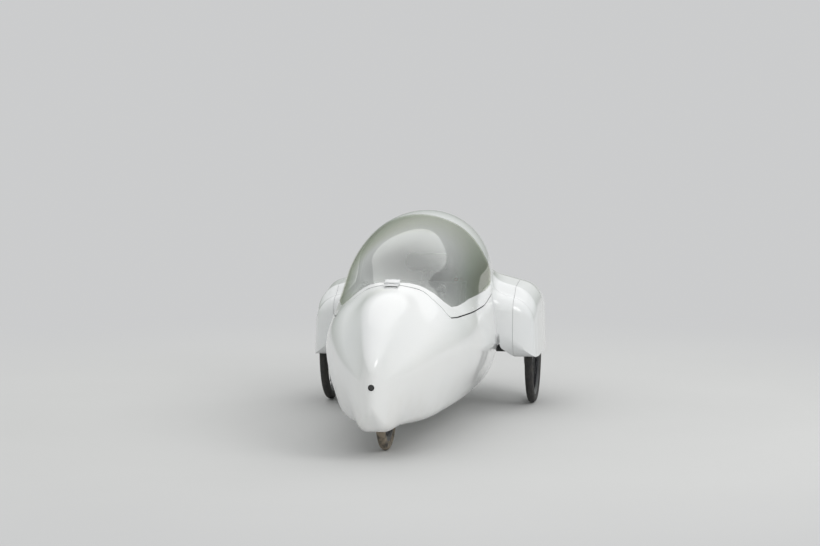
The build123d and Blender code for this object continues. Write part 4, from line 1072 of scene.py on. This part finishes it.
def acrylic():
    """Clear sheet: see-through face on, a mirror of its surroundings with a warm green tint at a slant."""
    made, nodes, links, shader = material("acrylic", (0.93, 0.96, 0.94), 0.02, metallic=1.0)
    facing = nodes.new("ShaderNodeLayerWeight")
    facing.inputs["Blend"].default_value = 0.5
    slants = [
        (0.0, (0.93, 0.96, 0.94)), (0.72, (0.94, 0.96, 0.93)),
        (0.9, (0.80, 0.84, 0.62)), (1.0, (0.62, 0.68, 0.40)),
    ]
    tint = ramp(nodes, links, facing.outputs["Facing"], slants)
    links.new(tint, shader.inputs["Base Color"])
    edge = arithmetic(nodes, links, "POWER", facing.outputs["Facing"], 2.0)
    edge = arithmetic(nodes, links, "MULTIPLY", edge, 0.62)
    haze = ramp(nodes, links, noise(nodes, links, 3.0, 5), [(0.35, (0.03,) * 3), (0.75, (0.055,) * 3)])
    total = arithmetic(nodes, links, "ADD", edge, haze)
    links.new(total, shader.inputs["Alpha"])
    made.surface_render_method = "BLENDED"
    return made


def rubber(name, dusty, onset=0.4):
    """Black rubber with patches of a dusty colour, which cover less where their onset is higher."""
    made, nodes, links, shader = material(name, (0.03, 0.03, 0.032), 0.75)
    stops = [(onset - 0.1, (0.028, 0.028, 0.03)), (onset + 0.2, dusty)]
    grime = ramp(nodes, links, noise(nodes, links, 38, 8), stops)
    links.new(grime, shader.inputs["Base Color"])
    bump(nodes, links, shader, noise(nodes, links, 480, 3), 0.35, 0.001)
    return made


def coated(name, colour, roughness, grain, metallic=0.0):
    """Painted or moulded surface with a fine grain and a little wear in its colour."""
    made, nodes, links, shader = material(name, colour, roughness, metallic)
    darker = tuple(c * 0.8 for c in colour)
    lighter = tuple(min(1.0, c * 1.25 + 0.01) for c in colour)
    tone = ramp(nodes, links, noise(nodes, links, 14, 6), [(0.3, darker), (0.75, lighter)])
    links.new(tone, shader.inputs["Base Color"])
    bump(nodes, links, shader, noise(nodes, links, grain, 3), 0.2, 0.0006)
    return made


def woven(name, colour):
    """Cloth of crossing threads, with painted shade in the hollows between them and painted light where they
    rise.
    """
    made, nodes, links, shader = material(name, colour, 0.9)
    place = object_place(nodes)
    threads = []
    for direction in ("X", "Y"):
        wave = nodes.new("ShaderNodeTexWave")
        wave.bands_direction = direction
        wave.inputs["Scale"].default_value = 160
        wave.inputs["Distortion"].default_value = 1.5
        links.new(place, wave.inputs["Vector"])
        threads.append(wave.outputs["Fac"])
    weave_relief_and_shade = arithmetic(nodes, links, "MULTIPLY", *threads)
    darker = tuple(c * 0.6 for c in colour)
    lighter = tuple(c * 1.5 for c in colour)
    # Painted shade and light: the colour is darker in the hollows between the threads and lighter on their
    # tops.
    tone = ramp(nodes, links, weave_relief_and_shade, [(0.0, darker), (1.0, lighter)])
    links.new(tone, shader.inputs["Base Color"])
    shader.inputs["Sheen Weight"].default_value = 0.3
    bump(nodes, links, shader, weave_relief_and_shade, 0.5, 0.001)
    return made


def lens(name, colour):
    """Glossy lamp cover with small cells inside."""
    made, nodes, links, shader = material(name, colour, 0.08, coat=1.0)
    ribs = nodes.new("ShaderNodeTexVoronoi")
    ribs.inputs["Scale"].default_value = 320
    links.new(object_place(nodes), ribs.inputs["Vector"])
    darker = tuple(c * 0.7 for c in colour)
    tone = ramp(nodes, links, ribs.outputs["Distance"], [(0.0, darker), (0.6, colour)])
    links.new(tone, shader.inputs["Base Color"])
    bump(nodes, links, shader, ribs.outputs["Distance"], 0.3, 0.001)
    return made


MATERIALS = {
    "shell_white": gelcoat(),
    "clear_acrylic": acrylic(),
    "hinge_steel": coated("hinge_steel", (0.74, 0.745, 0.75), 0.3, 300, 0.1),
    "tyre_rubber": rubber("tyre_rubber", (0.05, 0.047, 0.043)),
    "rim_alloy": coated("rim_alloy", (0.06, 0.06, 0.065), 0.35, 400, 0.6),
    "hub_alloy": coated("hub_alloy", (0.55, 0.56, 0.57), 0.32, 350, 1.0),
    "axle_steel": coated("axle_steel", (0.36, 0.36, 0.36), 0.38, 350, 1.0),
    "frame_black": coated("frame_black", (0.025, 0.025, 0.027), 0.42, 260),
    "grip_rubber": rubber("grip_rubber", (0.05, 0.05, 0.05)),
    "pedal_plastic": coated("pedal_plastic", (0.035, 0.035, 0.037), 0.6, 500),
    "seat_composite": coated("seat_composite", (0.05, 0.05, 0.052), 0.35, 200),
    "seat_fabric": woven("seat_fabric", (0.055, 0.057, 0.06)),
    "lamp_black": lens("lamp_black", (0.012, 0.012, 0.014)),
    "lamp_red": lens("lamp_red", (0.45, 0.015, 0.015)),
}


def dress(obj, made):
    """Gives an object one material in place of its own."""
    obj.data.materials.clear()
    obj.data.materials.append(made)


for part in frame["record"]["subparts"]:
    dress(frame["nodes"][part["node"]], MATERIALS[part["material_slot"]])
for skin in (body_skin, canopy_rim, *side_skins["left"], *side_skins["right"]):
    dress(skin, MATERIALS["shell_white"])
dress(canopy_bubble, MATERIALS["clear_acrylic"])
dusty_tyre = rubber("dusty_tyre_rubber", (0.30, 0.25, 0.19), 0.38)
for skin in tyre_skins:
    dress(skin, MATERIALS["tyre_rubber"])
dress(tyre_skins[0], dusty_tyre)
for skin in grip_skins:
    dress(skin, MATERIALS["grip_rubber"])
dress(lamp_ring, MATERIALS["shell_white"])
dress(canopy_screws, MATERIALS["hinge_steel"])
for skin in cushions:
    dress(skin, MATERIALS["seat_fabric"])

# Stage, light and camera, in metres and degrees. Between the two distances of FADE the floor turns
# to the backdrop's colour, but only where the camera looks straight at it.
FLOOR_SIZE = 60
FADE = (1.6, 4.2)
BACKDROP = (0.60, 0.605, 0.61)
SKY = [(0.0, (0.30, 0.33, 0.29)), (0.1, (0.46, 0.50, 0.46)), (0.4, (0.98, 1.0, 1.0)), (1.0, (1.0, 1.0, 1.0))]
SKY_STRENGTH = 0.85
KEY_POWER = 190
OVERHEAD_POWER = 120
CAMERA_PLACE = (1.4847, -11.3891, 1.6509)
CAMERA_DIP = 5.132
CAMERA_TURN = 7.62
CAMERA_LENS = 116.34
CAMERA_SENSOR = 36.0
CAMERA_REACH = 200

bpy.ops.mesh.primitive_plane_add(size=FLOOR_SIZE, location=(0, 0, 0))
floor = bpy.context.object
floor.name = "floor"
floor_paint, nodes, links, shader = material("floor_paint", (0.62, 0.62, 0.615), 0.85)
clouds = [(0.3, (0.61, 0.61, 0.605)), (0.7, (0.63, 0.63, 0.625))]
tone = ramp(nodes, links, noise(nodes, links, 0.8, 6), clouds)
links.new(tone, shader.inputs["Base Color"])
reach = nodes.new("ShaderNodeVectorMath")
reach.operation = "LENGTH"
links.new(object_place(nodes), reach.inputs[0])
fade = map_range(nodes, links, reach.outputs["Value"], start=FADE)
fade.interpolation_type = "SMOOTHSTEP"
far = nodes.new("ShaderNodeEmission")
far.inputs["Color"].default_value = (*BACKDROP, 1)
path = nodes.new("ShaderNodeLightPath")
seen = arithmetic(nodes, links, "MULTIPLY", fade.outputs["Result"], path.outputs["Is Camera Ray"])
blend = nodes.new("ShaderNodeMixShader")
links.new(seen, blend.inputs["Fac"])
links.new(shader.outputs[0], blend.inputs[1])
links.new(far.outputs[0], blend.inputs[2])
links.new(blend.outputs[0], nodes["Material Output"].inputs["Surface"])
dress(floor, floor_paint)

# The sky lights the scene and the backdrop is what the camera sees, also through clear pieces.
world = bpy.data.worlds.new("studio")
bpy.context.scene.world = world
world.use_nodes = True
nodes = world.node_tree.nodes
links = world.node_tree.links
nodes.clear()
output = nodes.new("ShaderNodeOutputWorld")
light = nodes.new("ShaderNodeBackground")
light.inputs["Strength"].default_value = SKY_STRENGTH
split = nodes.new("ShaderNodeSeparateXYZ")
links.new(nodes.new("ShaderNodeTexCoord").outputs["Generated"], split.inputs[0])
links.new(ramp(nodes, links, split.outputs["Z"], SKY), light.inputs["Color"])
backdrop = nodes.new("ShaderNodeBackground")
backdrop.inputs["Color"].default_value = (*BACKDROP, 1)
backdrop.inputs["Strength"].default_value = 1.0
path = nodes.new("ShaderNodeLightPath")
choice = nodes.new("ShaderNodeMixShader")
seen = arithmetic(nodes, links, "MAXIMUM", path.outputs["Is Camera Ray"], path.outputs["Is Transmission Ray"])
links.new(seen, choice.inputs["Fac"])
links.new(light.outputs[0], choice.inputs[1])
links.new(backdrop.outputs[0], choice.inputs[2])
links.new(choice.outputs[0], output.inputs["Surface"])


def lamp(name, place, target, size, power):
    """An oval area lamp that faces a target."""
    data = bpy.data.lights.new(name, "AREA")
    data.shape = "ELLIPSE"
    data.size = size[0]
    data.size_y = size[1]
    data.energy = power
    obj = new_object(name, data)
    obj.location = place
    obj.rotation_euler = (Vector(target) - Vector(place)).to_track_quat("-Z", "Y").to_euler()


lamp("key", (6.0, -5.0, 5.5), (0, 0, 0.4), (4.5, 4.5), KEY_POWER)
lamp("overhead", (0.2, 5.0, 7.4), (0, 0, 0.6), (13.0, 9.0), OVERHEAD_POWER)

camera_data = bpy.data.cameras.new("photo_camera")
camera_data.lens = CAMERA_LENS
camera_data.sensor_width = CAMERA_SENSOR
camera_data.clip_end = CAMERA_REACH
camera = new_object("photo_camera", camera_data)
camera.location = CAMERA_PLACE
camera.rotation_euler = (radians(90 - CAMERA_DIP), 0, radians(CAMERA_TURN))
bpy.context.scene.camera = camera
bpy.context.scene.view_settings.view_transform = "Standard"
